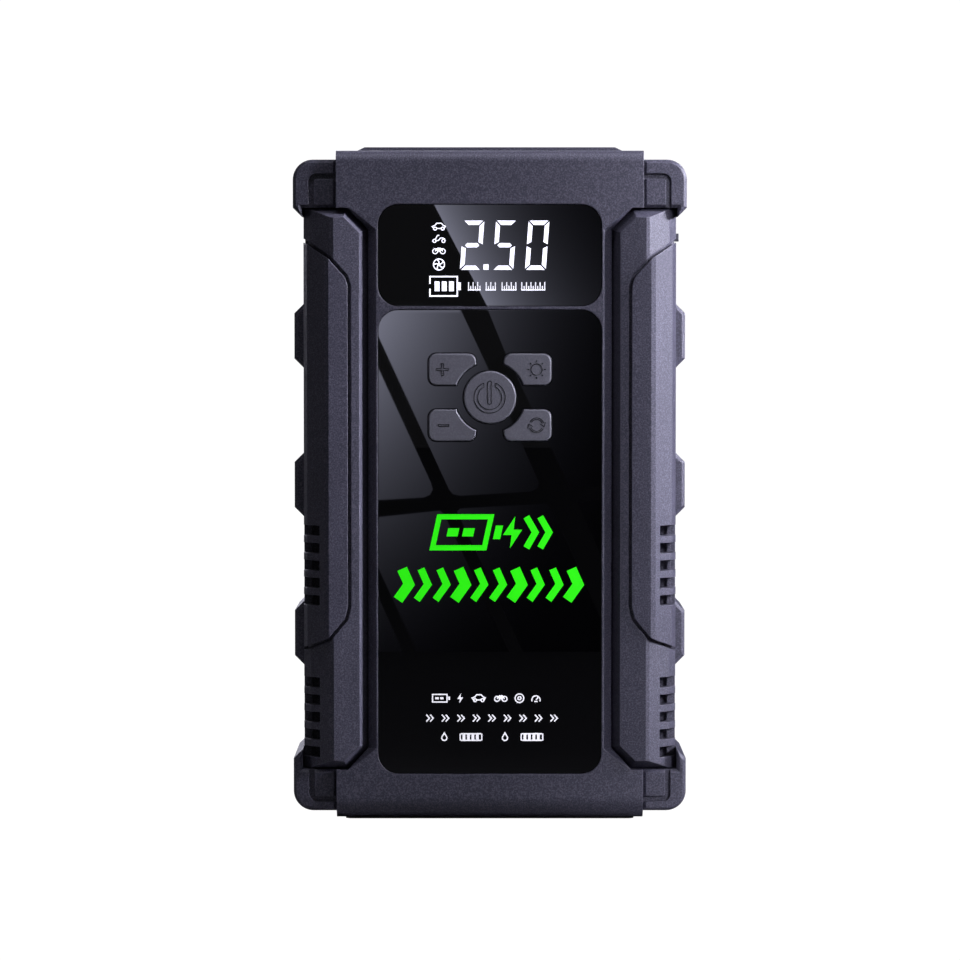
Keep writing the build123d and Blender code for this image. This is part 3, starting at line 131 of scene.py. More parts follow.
def make_mould_grain():
    """Spark-eroded grain of a moulded plastic: its fine high points are painted lighter as glints of caught
    light, over a slow cloudiness.
    """
    group, start, end = new_group(
        "mould_grain",
        [("Plastic", "Color", (0.05, 0.05, 0.07, 1)), ("Peaks", "Color", (0.2, 0.2, 0.24, 1)),
         ("Grain Scale", "Float", 2600.0), ("Peak Share", "Float", 0.5),
         ("Roughness", "Float", 0.5), ("Roughness Spread", "Float", 0.15)],
        [("Color", "Color", None), ("Roughness", "Float", None), ("Height", "Float", None)],
    )
    fine = noise_node(group, start.outputs["Grain Scale"], 3.0)
    coarse = noise_node(group, math_node(group, "MULTIPLY", start.outputs["Grain Scale"], 0.35), 2.0)
    cloud = noise_node(group, 45.0, 2.0)
    # The grain's high points are mixed towards the lighter colour: a painted glint, not a colour of the
    # plastic.
    painted_glints = sharpen(group, fine, 0.42, 0.7)
    share = math_node(group, "MULTIPLY", painted_glints, start.outputs["Peak Share"], clamp=True)
    shade = mix_colors(group, share, start.outputs["Plastic"], start.outputs["Peaks"])
    tone = math_node(group, "ADD", math_node(group, "MULTIPLY", cloud, 0.3), 0.85)
    toned = group.nodes.new("ShaderNodeVectorMath")
    toned.operation = "SCALE"
    group.links.new(shade, toned.inputs[0])
    group.links.new(tone, toned.inputs["Scale"])
    spread = math_node(group, "MULTIPLY", math_node(group, "SUBTRACT", coarse, 0.5), 2.0)
    spread = math_node(group, "MULTIPLY", spread, start.outputs["Roughness Spread"])
    rough = math_node(group, "ADD", spread, start.outputs["Roughness"], clamp=True)
    height = math_node(group, "ADD", fine, math_node(group, "MULTIPLY", coarse, 0.8))
    group.links.new(toned.outputs[0], end.inputs["Color"])
    group.links.new(rough, end.inputs["Roughness"])
    group.links.new(height, end.inputs["Height"])
    return group


def make_rounded_edges():
    """Small rounding of moulded edges, and a mask that is 1 on the rounded line."""
    group, start, end = new_group(
        "rounded_edges",
        [("Radius", "Float", 0.3 * mm), ("Gain", "Float", 6.0)],
        [("Normal", "Vector", None), ("Edge", "Float", None)],
    )
    bevel = group.nodes.new("ShaderNodeBevel")
    bevel.samples = 4
    surface = group.nodes.new("ShaderNodeNewGeometry")
    compare = group.nodes.new("ShaderNodeVectorMath")
    compare.operation = "DOT_PRODUCT"
    group.links.new(start.outputs["Radius"], bevel.inputs["Radius"])
    group.links.new(bevel.outputs["Normal"], compare.inputs[0])
    group.links.new(surface.outputs["Normal"], compare.inputs[1])
    turned = math_node(group, "SUBTRACT", 1.0, compare.outputs["Value"])
    edge = math_node(group, "MULTIPLY", turned, start.outputs["Gain"], clamp=True)
    group.links.new(bevel.outputs["Normal"], end.inputs["Normal"])
    group.links.new(edge, end.inputs["Edge"])
    return group


def make_tool_marks():
    """Fine parallel marks of machined, drawn or stamped metal, with a slow tarnish."""
    group, start, end = new_group(
        "tool_marks",
        [("Metal", "Color", (0.6, 0.6, 0.6, 1)), ("Tarnish", "Color", (0.3, 0.3, 0.3, 1)),
         ("Roughness", "Float", 0.3), ("Mark Scale", "Float", 900.0)],
        [("Color", "Color", None), ("Roughness", "Float", None), ("Height", "Float", None)],
    )
    marks = noise_node(group, start.outputs["Mark Scale"], 3.0, (1.0, 1.0, 0.06))
    stain = sharpen(group, noise_node(group, 130.0, 3.0), 0.45, 0.7)
    shade = mix_colors(group, math_node(group, "MULTIPLY", stain, 0.6), start.outputs["Metal"],
                       start.outputs["Tarnish"])
    rough = math_node(group, "ADD", math_node(group, "MULTIPLY", marks, 0.2), start.outputs["Roughness"])
    rough = math_node(group, "ADD", rough, math_node(group, "MULTIPLY", stain, 0.15), clamp=True)
    group.links.new(shade, end.inputs["Color"])
    group.links.new(rough, end.inputs["Roughness"])
    group.links.new(marks, end.inputs["Height"])
    return group


def make_handling_film():
    """Faint wiping streaks and dust on a gloss surface, as roughness and a light veil."""
    group, start, end = new_group(
        "handling_film",
        [("Gloss", "Float", 0.03), ("Film", "Float", 0.05), ("Base", "Color", (0.003, 0.003, 0.004, 1)),
         ("Dust", "Color", (0.02, 0.02, 0.022, 1))],
        [("Color", "Color", None), ("Roughness", "Float", None)],
    )
    wipe = sharpen(group, noise_node(group, 60.0, 4.0, (1.0, 1.0, 0.3)), 0.45, 0.8)
    specks = sharpen(group, noise_node(group, 1500.0, 2.0), 0.72, 0.8)
    rough = math_node(group, "ADD", start.outputs["Gloss"],
                      math_node(group, "MULTIPLY", wipe, start.outputs["Film"]), clamp=True)
    shade = mix_colors(group, math_node(group, "MULTIPLY", specks, 0.35), start.outputs["Base"],
                       start.outputs["Dust"])
    group.links.new(shade, end.inputs["Color"])
    group.links.new(rough, end.inputs["Roughness"])
    return group


mould_grain = make_mould_grain()
rounded_edges = make_rounded_edges()
tool_marks = make_tool_marks()
handling_film = make_handling_film()


# ---------------------------------------------------------------- materials
def new_material(name):
    """An empty node material with its Principled shader."""
    material = bpy.data.materials.new(name)
    material.use_nodes = True
    return material, material.node_tree, material.node_tree.nodes["Principled BSDF"]


def place_group(tree, group, **values):
    """A group node with its inputs set; an underscore in a name stands for a space."""
    node = tree.nodes.new("ShaderNodeGroup")
    node.node_tree = group
    for name, value in values.items():
        node.inputs[name.replace("_", " ")].default_value = value
    return node


def add_bump(tree, shader, height, depth, strength, normal=None):
    """A bump of the given depth in metres, over the rounded edges where they are given."""
    bump = tree.nodes.new("ShaderNodeBump")
    bump.inputs["Distance"].default_value = depth
    bump.inputs["Strength"].default_value = strength
    tree.links.new(height, bump.inputs["Height"])
    if normal:
        tree.links.new(normal, bump.inputs["Normal"])
    tree.links.new(bump.outputs["Normal"], shader.inputs["Normal"])


def moulded(name, plastic, painted_glints, rough=0.5, grain=2600.0, share=0.6, depth=0.05 * mm, edge_highlight_share=0.45,
            radius=0.35 * mm):
    """Moulded plastic or rubber: grain with painted glints, rounded edges, and edges painted a little lighter
    as a highlight.
    """
    material, tree, shader = new_material(name)
    skin = place_group(tree, mould_grain, Plastic=(*plastic, 1), Peaks=(*painted_glints, 1), Grain_Scale=grain,
                       Peak_Share=share, Roughness=rough)
    edges = place_group(tree, rounded_edges, Radius=radius)
    # Edges are mixed towards the lighter colour: a painted highlight along the rounded edges.
    painted_edge_highlight = math_node(tree, "MULTIPLY", edges.outputs["Edge"], edge_highlight_share)
    shade = mix_colors(tree, painted_edge_highlight, skin.outputs["Color"], (*painted_glints, 1))
    tree.links.new(shade, shader.inputs["Base Color"])
    tree.links.new(skin.outputs["Roughness"], shader.inputs["Roughness"])
    add_bump(tree, shader, skin.outputs["Height"], depth, 0.6, edges.outputs["Normal"])
    return material


def metal(name, shade, tarnish, rough=0.3, marks=900.0, radius=0.15 * mm):
    """Machined, drawn or stamped metal."""
    material, tree, shader = new_material(name)
    skin = place_group(tree, tool_marks, Metal=(*shade, 1), Tarnish=(*tarnish, 1), Roughness=rough,
                       Mark_Scale=marks)
    edges = place_group(tree, rounded_edges, Radius=radius)
    tree.links.new(skin.outputs["Color"], shader.inputs["Base Color"])
    tree.links.new(skin.outputs["Roughness"], shader.inputs["Roughness"])
    add_bump(tree, shader, skin.outputs["Height"], 0.01 * mm, 0.5, edges.outputs["Normal"])
    shader.inputs["Metallic"].default_value = 1.0
    return material


def gloss(name, base, dust, film=0.012, rough=0.008):
    """Polished panel with faint wiping streaks."""
    material, tree, shader = new_material(name)
    skin = place_group(tree, handling_film, Gloss=rough, Film=film, Base=(*base, 1), Dust=(*dust, 1))
    edges = place_group(tree, rounded_edges, Radius=0.2 * mm)
    tree.links.new(skin.outputs["Color"], shader.inputs["Base Color"])
    tree.links.new(skin.outputs["Roughness"], shader.inputs["Roughness"])
    tree.links.new(edges.outputs["Normal"], shader.inputs["Normal"])
    return material


def clear_lens(name, tint):
    """Clear moulded lens with faint mould flow and specks."""
    material, tree, shader = new_material(name)
    skin = place_group(tree, handling_film, Gloss=0.04, Film=0.12, Base=(*tint, 1), Dust=(0.7, 0.7, 0.72, 1))
    tree.links.new(skin.outputs["Color"], shader.inputs["Base Color"])
    tree.links.new(skin.outputs["Roughness"], shader.inputs["Roughness"])
    shader.inputs["Transmission Weight"].default_value = 0.9
    shader.inputs["IOR"].default_value = 1.49
    return material


def lit_mark(name, shade, strength):
    """A mark that glows by emission, grainy, with light that varies a little over its area: the display's own
    lit segments, and printed ink given a painted glow.
    """
    material, tree, shader = new_material(name)
    skin = place_group(tree, mould_grain, Plastic=(*shade, 1), Peaks=(*[min(1.0, c * 1.3) for c in shade], 1),
                       Grain_Scale=3500.0, Peak_Share=0.3, Roughness=0.4)
    tree.links.new(skin.outputs["Color"], shader.inputs["Base Color"])
    tree.links.new(skin.outputs["Roughness"], shader.inputs["Roughness"])
    tree.links.new(skin.outputs["Color"], shader.inputs["Emission Color"])
    shader.inputs["Emission Strength"].default_value = strength
    return material


# For moulded finishes the second colour is painted light: it lightens the grain's high points as glints and
# the edges as a highlight.
finishes = {
    "casing": moulded("casing_grained_plastic", (0.040, 0.039, 0.056), (0.16, 0.155, 0.2)),
    "guard_plastic": moulded("guard_grained_plastic", (0.036, 0.035, 0.051), (0.15, 0.145, 0.19)),
    "fairing_plastic": moulded("fairing_grained_plastic", (0.040, 0.039, 0.056), (0.16, 0.155, 0.2)),
    "grip_plastic": moulded("grip_grained_plastic", (0.038, 0.037, 0.054), (0.15, 0.145, 0.19), rough=0.46),
    "lid_rubber": moulded("lid_soft_rubber", (0.028, 0.028, 0.036), (0.08, 0.08, 0.1), rough=0.6,
                          grain=1800.0),
    "pad_rubber": moulded("pad_soft_rubber", (0.016, 0.016, 0.018), (0.05, 0.05, 0.055), rough=0.7,
                          grain=1500.0, depth=0.06 * mm),
    "display_gloss": gloss("display_smoked_gloss", (0.0012, 0.0012, 0.0015), (0.008, 0.008, 0.01)),
    "panel_gloss": gloss("panel_black_gloss", (0.0012, 0.0012, 0.0015), (0.008, 0.008, 0.01)),
    "power_key": moulded("power_key_satin", (0.12, 0.12, 0.138), (0.24, 0.24, 0.27), rough=0.42, share=0.3,
                         depth=0.012 * mm, edge_highlight_share=0.4),
    "small_keys": moulded("small_key_satin", (0.115, 0.115, 0.132), (0.24, 0.24, 0.27), rough=0.42, share=0.3,
                          depth=0.012 * mm, edge_highlight_share=0.4),
    "label": moulded("blank_label_foil", (0.12, 0.12, 0.13), (0.25, 0.25, 0.27), rough=0.35, share=0.2,
                     depth=0.008 * mm),
    "display_glass": gloss("display_module_glass", (0.01, 0.01, 0.012), (0.05, 0.05, 0.055), film=0.05),
    "board": gloss("board_green_mask", (0.008, 0.07, 0.03), (0.03, 0.12, 0.06), film=0.2, rough=0.2),
    "switch": moulded("switch_moulding", (0.02, 0.02, 0.02), (0.08, 0.08, 0.08)),
    "sink": metal("cast_aluminium", (0.72, 0.72, 0.74), (0.5, 0.5, 0.52), rough=0.4, marks=1500.0),
    "chip": moulded("chip_epoxy", (0.012, 0.012, 0.013), (0.05, 0.05, 0.05)),
    "cell_wrap": metal("cell_foil", (0.62, 0.63, 0.65), (0.48, 0.49, 0.5), rough=0.28, marks=400.0),
    "tray": moulded("tray_plastic", (0.025, 0.025, 0.026), (0.09, 0.09, 0.09)),
    "copper": metal("copper_strip", (0.85, 0.42, 0.26), (0.45, 0.2, 0.12)),
    "motor_steel": metal("zinc_plated_can", (0.62, 0.62, 0.6), (0.4, 0.4, 0.38)),
    "pinion_brass": metal("brass_pinion", (0.78, 0.58, 0.25), (0.5, 0.36, 0.16)),
    "frame_steel": metal("stamped_frame", (0.55, 0.55, 0.56), (0.36, 0.36, 0.36)),
    "pin_steel": metal("ground_pin", (0.62, 0.62, 0.63), (0.42, 0.42, 0.42), rough=0.2),
    "gear_nylon": moulded("gear_nylon", (0.72, 0.7, 0.62), (0.85, 0.84, 0.8), rough=0.45),
    "rod_nylon": moulded("rod_filled_nylon", (0.04, 0.04, 0.04), (0.14, 0.14, 0.14)),
    "cup_rubber": moulded("cup_seal_rubber", (0.02, 0.02, 0.02), (0.06, 0.06, 0.06), rough=0.6),
    "tube_rubber": moulded("air_tube_rubber", (0.022, 0.022, 0.022), (0.07, 0.07, 0.07), rough=0.55),
    "outlet_brass": metal("outlet_brass", (0.8, 0.6, 0.28), (0.5, 0.36, 0.16), rough=0.25),
    "socket_plastic": moulded("socket_blue_plastic", (0.015, 0.08, 0.3), (0.06, 0.16, 0.45)),
    "contact_metal": metal("gold_flashed_contact", (0.9, 0.72, 0.35), (0.6, 0.46, 0.22), rough=0.2),
    "port_metal": metal("nickel_port_shell", (0.66, 0.65, 0.63), (0.45, 0.44, 0.43), rough=0.25),
    "lens": clear_lens("torch_clear_lens", (0.95, 0.96, 0.98)),
    "reflector": metal("torch_bright_reflector", (0.86, 0.86, 0.87), (0.7, 0.7, 0.71), rough=0.08),
    "screw_steel": metal("black_oxide_screw", (0.12, 0.12, 0.13), (0.07, 0.07, 0.07), rough=0.35),
}
# White and green print glow by emission: painted light on printed ink, which is no lamp.
glowing_white_print = lit_mark("glowing_white_print", (0.75, 0.75, 0.8), 0.8)
glowing_green_print = lit_mark("glowing_green_print", (0.015, 0.6, 0.0005), 0.9)
display_light = lit_mark("display_segment_light", (0.88, 0.88, 1.0), 1.1)
# Dark key lines are painted shade: they stand in for the shadow inside the keys' engraved marks.
engraving_shade_line = moulded("engraving_painted_shade", (0.003, 0.003, 0.004), (0.01, 0.01, 0.012), rough=0.6)
label_line = moulded("label_border_ink", (0.3, 0.3, 0.32), (0.4, 0.4, 0.42), rough=0.4)

for part in frame["record"]["subparts"]:
    mesh = nodes[part["node"]].data
    mesh.materials.clear()
    mesh.materials.append(finishes[part["material_slot"]])


# ---------------------------------------------------------------- flat marks
def stroke(points, width, closed=False):
    """Quads of a mitred line of the given width through points."""
    count = len(points)
    left, right = [], []
    for i, (x, z) in enumerate(points):
        before = points[i - 1] if closed or i else None
        after = points[(i + 1) % count] if closed or i < count - 1 else None
        ways = []
        for a, b in ((before, (x, z)), ((x, z), after)):
            if a and b:
                ways.append(Vector((b[0] - a[0], b[1] - a[1])).normalized())
        way = sum(ways, Vector((0, 0))).normalized()
        reach = width / 2 / max(0.35, way.dot(ways[0]))
        left.append((x - way.y * reach, z + way.x * reach))
        right.append((x + way.y * reach, z - way.x * reach))
    spans = range(count if closed else count - 1)
    return [[right[i], right[(i + 1) % count], left[(i + 1) % count], left[i]] for i in spans]


def arc(x, z, radius, start=0.0, end=360.0, squeeze=1.0):
    """Points along an arc, angles in degrees from +X towards +Z."""
    steps = max(6, round(ROUND_STEPS * abs(end - start) / 360))
    whole = abs(end - start) >= 360
    angles = [math.radians(start + (end - start) * i / steps) for i in range(steps + (not whole))]
    return [(x + radius * math.cos(a), z + radius * squeeze * math.sin(a)) for a in angles]


def ring(x, z, radius, width):
    """Quads of a full ring."""
    return stroke(arc(x, z, radius), width, closed=True)


def bar(x0, x1, z0, z1, slant=0.0):
    """A filled bar; slant moves its top to the right by that share of its height."""
    return [[(x0, z0), (x1, z0), (x1 + slant * (z1 - z0), z1), (x0 + slant * (z1 - z0), z1)]]


def box_line(x0, x1, z0, z1, width, slant=0.0):
    """The outline of a bar."""
    return stroke(bar(x0, x1, z0, z1, slant)[0], width, closed=True)


def moved(shapes, x, z, scale=1.0):
    """The same polygons at another place and size."""
    return [[(x + scale * px, z + scale * pz) for px, pz in shape] for shape in shapes]


def flat_piece(name, shapes, face_y, body, material):
    """Polygons in millimetres, raised off a front-facing surface at face_y (metres)."""
    mesh = bpy.data.meshes.new(name)
    build = bmesh.new()
    for shape in shapes:
        back = [build.verts.new((x * mm, face_y, z * mm)) for x, z in shape]
        front = [build.verts.new((x * mm, face_y - PRINT_DEPTH, z * mm)) for x, z in shape]
        build.faces.new(front)
        build.faces.new(back[::-1])
        for i in range(len(shape)):
            j = (i + 1) % len(shape)
            build.faces.new((back[i], back[j], front[j], front[i]))
    bmesh.ops.remove_doubles(build, verts=build.verts, dist=1e-7)
    bmesh.ops.recalc_face_normals(build, faces=build.faces)
    build.to_mesh(mesh)
    build.free()
    piece = bpy.data.objects.new(name, mesh)
    bpy.context.scene.collection.objects.link(piece)
    mesh.materials.append(material)
    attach(piece, body)
    return piece


def in_mm(node):
    """A node's box in millimetres, as (low, high)."""
    low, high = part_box(node)
    return low / mm, high / mm


# ---------------------------------------------------------------- display figures
# Lit segments of each figure: a to f run clockwise from the top, and g is the middle one. All
# lengths of marks below are in millimetres.
SEGMENTS = {"2": "abged", "5": "afgcd", "0": "abcdef"}
SEGMENT_GAP = 0.3
FIGURE_WIDTH = 6.0
FIGURE_HEIGHT = 14.2
FIGURE_THICK = 1.25
FIGURE_SLANT = 0.075
FIGURE_PITCH = 9.4


def figure(digit, x, z):
    """One seven-segment figure in millimetres, its foot corner at (x, z)."""
    width, height, thick, slant = FIGURE_WIDTH, FIGURE_HEIGHT, FIGURE_THICK, FIGURE_SLANT
    half = height / 2
    gap = SEGMENT_GAP
    tip = thick / 2
    flat = {"a": height - thick, "g": half - tip, "d": 0.0}
    shapes = []
    for key in SEGMENTS[digit]:
        if key in flat:
            low = flat[key]
            high = low + thick
            if key == "a":
                points = [(thick + gap, low), (width - thick - gap, low), (width - gap, high), (gap, high)]
            elif key == "d":
                points = [(gap, low), (width - gap, low), (width - thick - gap, high), (thick + gap, high)]
            else:
                middle = low + tip
                points = [(tip + gap, middle), (thick + gap, low), (width - thick - gap, low),
                          (width - tip - gap, middle), (width - thick - gap, high), (thick + gap, high)]
        else:
            upper = key in "bf"
            bottom = half + gap if upper else gap
            top = height - gap if upper else half - gap
            inner_low = bottom + (tip if upper else thick)
            inner_high = top - (thick if upper else tip)
            points = [(0, bottom), (thick, inner_low), (thick, inner_high), (0, top)]
            if key in "bc":
                points = [(width - px, pz) for px, pz in reversed(points)]
        shapes.append([(x + px + slant * pz, z + pz) for px, pz in points])
    return shapes


def car_icon(w):
    """Side view of a small car in lines of width w, 4 wide about its middle."""
    shapes = ring(-1.1, -0.55, 0.42, w) + ring(1.1, -0.55, 0.42, w)
    body = [(-1.6, -0.35), (-1.95, 0.05), (-1.2, 0.35), (-0.6, 1.0), (0.7, 1.0), (1.3, 0.35), (1.9, 0.1),
            (1.6, -0.4)]
    return shapes + stroke(body, w) + stroke([(-0.6, -0.5), (0.6, -0.5)], w)


def scooter_icon(w):
    """A scooter: two wheels, a footboard and a steering post."""
    shapes = ring(-1.3, -0.6, 0.45, w) + ring(1.3, -0.6, 0.45, w)
    shapes += stroke([(-0.85, -0.5), (-0.2, -0.5), (0.5, 0.25), (1.2, 0.25), (1.75, -0.2)], w)
    return shapes + stroke([(-1.1, -0.2), (-0.4, 1.0), (0.1, 1.0)], w)


def bicycle_icon(w):
    """A bicycle: two wheels and a crossed frame."""
    shapes = ring(-1.15, -0.2, 0.75, w) + ring(1.15, -0.2, 0.75, w)
    shapes += stroke([(-1.15, -0.2), (-0.4, 0.7), (0.5, 0.7), (1.15, -0.2)], w)
    return shapes + stroke([(-0.4, 0.7), (0.05, -0.2), (0.5, 0.7)], w)


def ball_icon(w):
    """A ball with a star of seams."""
    shapes = ring(0, 0, 1.45, w)
    for k in range(5):
        a = math.radians(90 + 72 * k)
        b = math.radians(90 + 72 * k + 20)
        bend = (0.75 * math.cos(a), 0.75 * math.sin(a))
        shapes += stroke([(0, 0), bend, (1.4 * math.cos(b), 1.4 * math.sin(b))], w)
    return shapes


def gauge_icon(w):
    """A small dial: a bow, its needle and a foot."""
    shapes = stroke(arc(0, -0.5, 1.2, -20, 200), w)
    return shapes + stroke([(0, -0.5), (0.6, 0.25)], w) + stroke([(-0.5, -0.95), (0.5, -0.95)], w)


def bolt_shape():
    """A filled lightning bolt, 1.8 wide and 3 high, as four triangles."""
    return [[(0.25, 1.5), (-0.9, -0.25), (-0.1, -0.25)], [(0.25, 1.5), (-0.1, -0.25), (0.1, 0.25)],
            [(-0.25, -1.5), (0.9, 0.25), (0.1, 0.25)], [(-0.25, -1.5), (0.1, 0.25), (-0.1, -0.25)]]


def battery_icon(x0, x1, z0, z1, width, bars, slant=0.0):
    """A lying battery: outline, terminal and charge bars."""
    middle = (z0 + z1) / 2
    high = (z1 - z0) * 0.22
    shapes = box_line(x0, x1, z0, z1, width, slant)
    shift = slant * (middle - z0)
    shapes += bar(x1 + shift + width, x1 + shift + 2.4 * width, middle - high, middle + high, slant)
    pitch = (x1 - x0 - 4 * width) / bars
    for k in range(bars):
        left = x0 + 2.2 * width + k * pitch
        low = z0 + 2.2 * width
        left += slant * (low - z0)
        shapes += bar(left, left + 0.72 * pitch, low, z1 - 2.2 * width, slant)
    return shapes


# Marks of the display and the panel, in millimetres: x from the pack's middle plane, and every drop
# from the top edge of the window or panel that carries the mark
FIGURES_LEFT, FIGURES_DROP = -8.65, 18.85
POINT_SPAN, POINT_HEIGHT = (-1.85, -0.35), 1.6
ICON_LINE, ICON_COLUMN = 0.27, -14.7
MODE_ICONS = [("car", car_icon, 6.4, 1.0), ("scooter", scooter_icon, 9.9, 1.0),
              ("bicycle", bicycle_icon, 13.3, 0.95), ("ball", ball_icon, 17.3, 1.1)]
CHARGE_LEFT, CHARGE_RIGHT = -17.3, -9.4
CHARGE_TOP_DROP, CHARGE_FOOT_DROP = 20.8, 26.4
TICK_PITCH, TICK_WIDTH, TICK_REACH = 0.66, 0.3, 1.2
TICK_GROUPS = [(-6.3, 6), (-1.2, 5), (3.4, 7), (9.1, 11)]


def build_display():
    """Figures, mode icons, charge mark and scale marks on the display window."""
    low, high = in_mm("display_window")
    face = low.y * mm
    top = high.z
    foot = top - FIGURES_DROP
    digits = []
    for number, digit in enumerate("250"):
        digits += figure(digit, FIGURES_LEFT + FIGURE_PITCH * number, foot)
    digits += bar(*POINT_SPAN, foot, foot + POINT_HEIGHT)
    flat_piece("display_figures", digits, face, "casing", display_light)
    for name, icon, drop, size in MODE_ICONS:
        flat_piece(f"display_{name}_icon", moved(icon(ICON_LINE), ICON_COLUMN, top - drop, size), face,
                   "casing", display_light)
    low_edge, high_edge = top - CHARGE_FOOT_DROP, top - CHARGE_TOP_DROP
    middle = (low_edge + high_edge) / 2
    outline = [(CHARGE_LEFT, middle - 0.7), (CHARGE_LEFT, low_edge), (CHARGE_RIGHT, low_edge),
               (CHARGE_RIGHT, high_edge), (CHARGE_LEFT, high_edge), (CHARGE_LEFT, middle + 0.7)]
    charge = stroke(outline, 0.4) + bar(-9.2, -8.4, middle - 1.1, middle + 1.1)
    for number in range(3):
        left = -15.95 + 2.08 * number
        charge += bar(left, left + 1.4, middle - 1.4, middle + 1.4)
    flat_piece("display_charge_mark", charge, face, "casing", display_light)
    scales = []
    for start, ticks in TICK_GROUPS:
        for number in range(ticks):
            left = start + TICK_PITCH * number
            reach = TICK_REACH if number % 2 == 0 else 0.1
            scales += bar(left, left + TICK_WIDTH, middle - TICK_REACH, middle + reach)
        end = start + TICK_PITCH * (ticks - 1) + TICK_WIDTH
        scales += bar(start, end, middle - TICK_REACH, middle - 0.9)
    flat_piece("display_scale_marks", scales, face, "casing", glowing_white_print)


BATTERY_DROP, CHEVRONS_DROP = 68.9, 84.0
GREEN_HEIGHT, GREEN_SLANT = 9.0, 0.22
WHITE_ROW_DROPS = (112.6, 118.4, 123.9)
WHITE_LINE = 0.36


def build_panel_print():
    """Green and white printed marks on the control panel."""
    low, high = in_mm("control_panel")
    face = low.y * mm
    top = high.z
    first = top - BATTERY_DROP
    green = battery_icon(-16.6, -1.6, first, first + GREEN_HEIGHT, 1.5, 2, GREEN_SLANT)
    green += moved(bolt_shape(), 6.6, first + GREEN_HEIGHT / 2, 3.1)
    for number in range(2):
        start = 10.6 + 4.0 * number
        green += stroke([(start, first), (start + 2.6, first + GREEN_HEIGHT / 2),
                         (start, first + GREEN_HEIGHT)], 1.9)
    second = top - CHEVRONS_DROP
    for number in range(10):
        start = -26.6 + 5.45 * number
        thick = 2.1 if number % 3 else 3.0
        green += stroke([(start, second), (start + 3.2, second + GREEN_HEIGHT / 2),
                         (start + 1.2, second + GREEN_HEIGHT)], thick)
    flat_piece("panel_green_marks", green, face, "casing", glowing_green_print)
    line = WHITE_LINE
    row = top - WHITE_ROW_DROPS[0]
    white = battery_icon(-16.6, -12.4, row - 1.1, row + 1.1, line, 2)
    white += moved(bolt_shape(), -8.6, row, 0.95)
    white += moved(car_icon(line), -3.2, row, 1.0)
    white += moved(bicycle_icon(line), 3.2, row, 0.95)
    white += ring(8.6, row, 1.25, line)
    white += ring(8.6, row, 0.45, line)
    white += moved(gauge_icon(line), 13.4, row, 1.0)
    flat_piece("panel_mark_row_1", white, face, "casing", glowing_white_print)
    row = top - WHITE_ROW_DROPS[1]
    white = []
    for number in range(9):
        start = -18.4 + 4.5 * number
        white += stroke([(start, row - 1.0), (start + 0.9, row), (start, row + 1.0)], line)
        white += stroke([(start + 1.1, row - 1.0), (start + 2.0, row), (start + 1.1, row + 1.0)], line)
    flat_piece("panel_mark_row_2", white, face, "casing", glowing_white_print)
    row = top - WHITE_ROW_DROPS[2]
    white = []
    for start in (-13.2, 4.4):
        white += stroke(arc(start, row - 0.25, 0.75, 130, 410), line)
        white += stroke([(start - 0.48, row + 0.35), (start, row + 1.2), (start + 0.48, row + 0.35)], line)
    for x0 in (-8.4, 9.3):
        white += bar(x0, x0 + 5.9, row - 1.15, row - 0.75) + bar(x0, x0 + 5.9, row + 0.75, row + 1.15)
        white += bar(x0 - 0.35, x0, row - 1.0, row + 1.0)
        white += bar(x0 + 5.9, x0 + 6.25, row - 1.0, row + 1.0)
        for k in range(4):
            white += bar(x0 + 0.5 + 1.3 * k, x0 + 1.3 + 1.3 * k, row - 0.75, row + 0.75)
    flat_piece("panel_mark_row_3", white, face, "casing", glowing_white_print)


# ---------------------------------------------------------------- key marks
def key_mark(name, node, body, shapes):
    """Dark lines on a key's front face: painted shade that stands in for the shadow inside an engraved mark.
    """
    low, high = in_mm(node)
    flat_piece(name, shapes, low.y * mm, body, engraving_shade_line)


def key_middle(node):
    """The middle of a key's box, as x and z in millimetres."""
    low, high = in_mm(node)
    return (low.x + high.x) / 2, (low.z + high.z) / 2


# Width of the marks' lines, and about how far a small key's mark is from the middle of the key's box
KEY_LINE = 0.23
KEY_MARK_SHIFT = 2.75


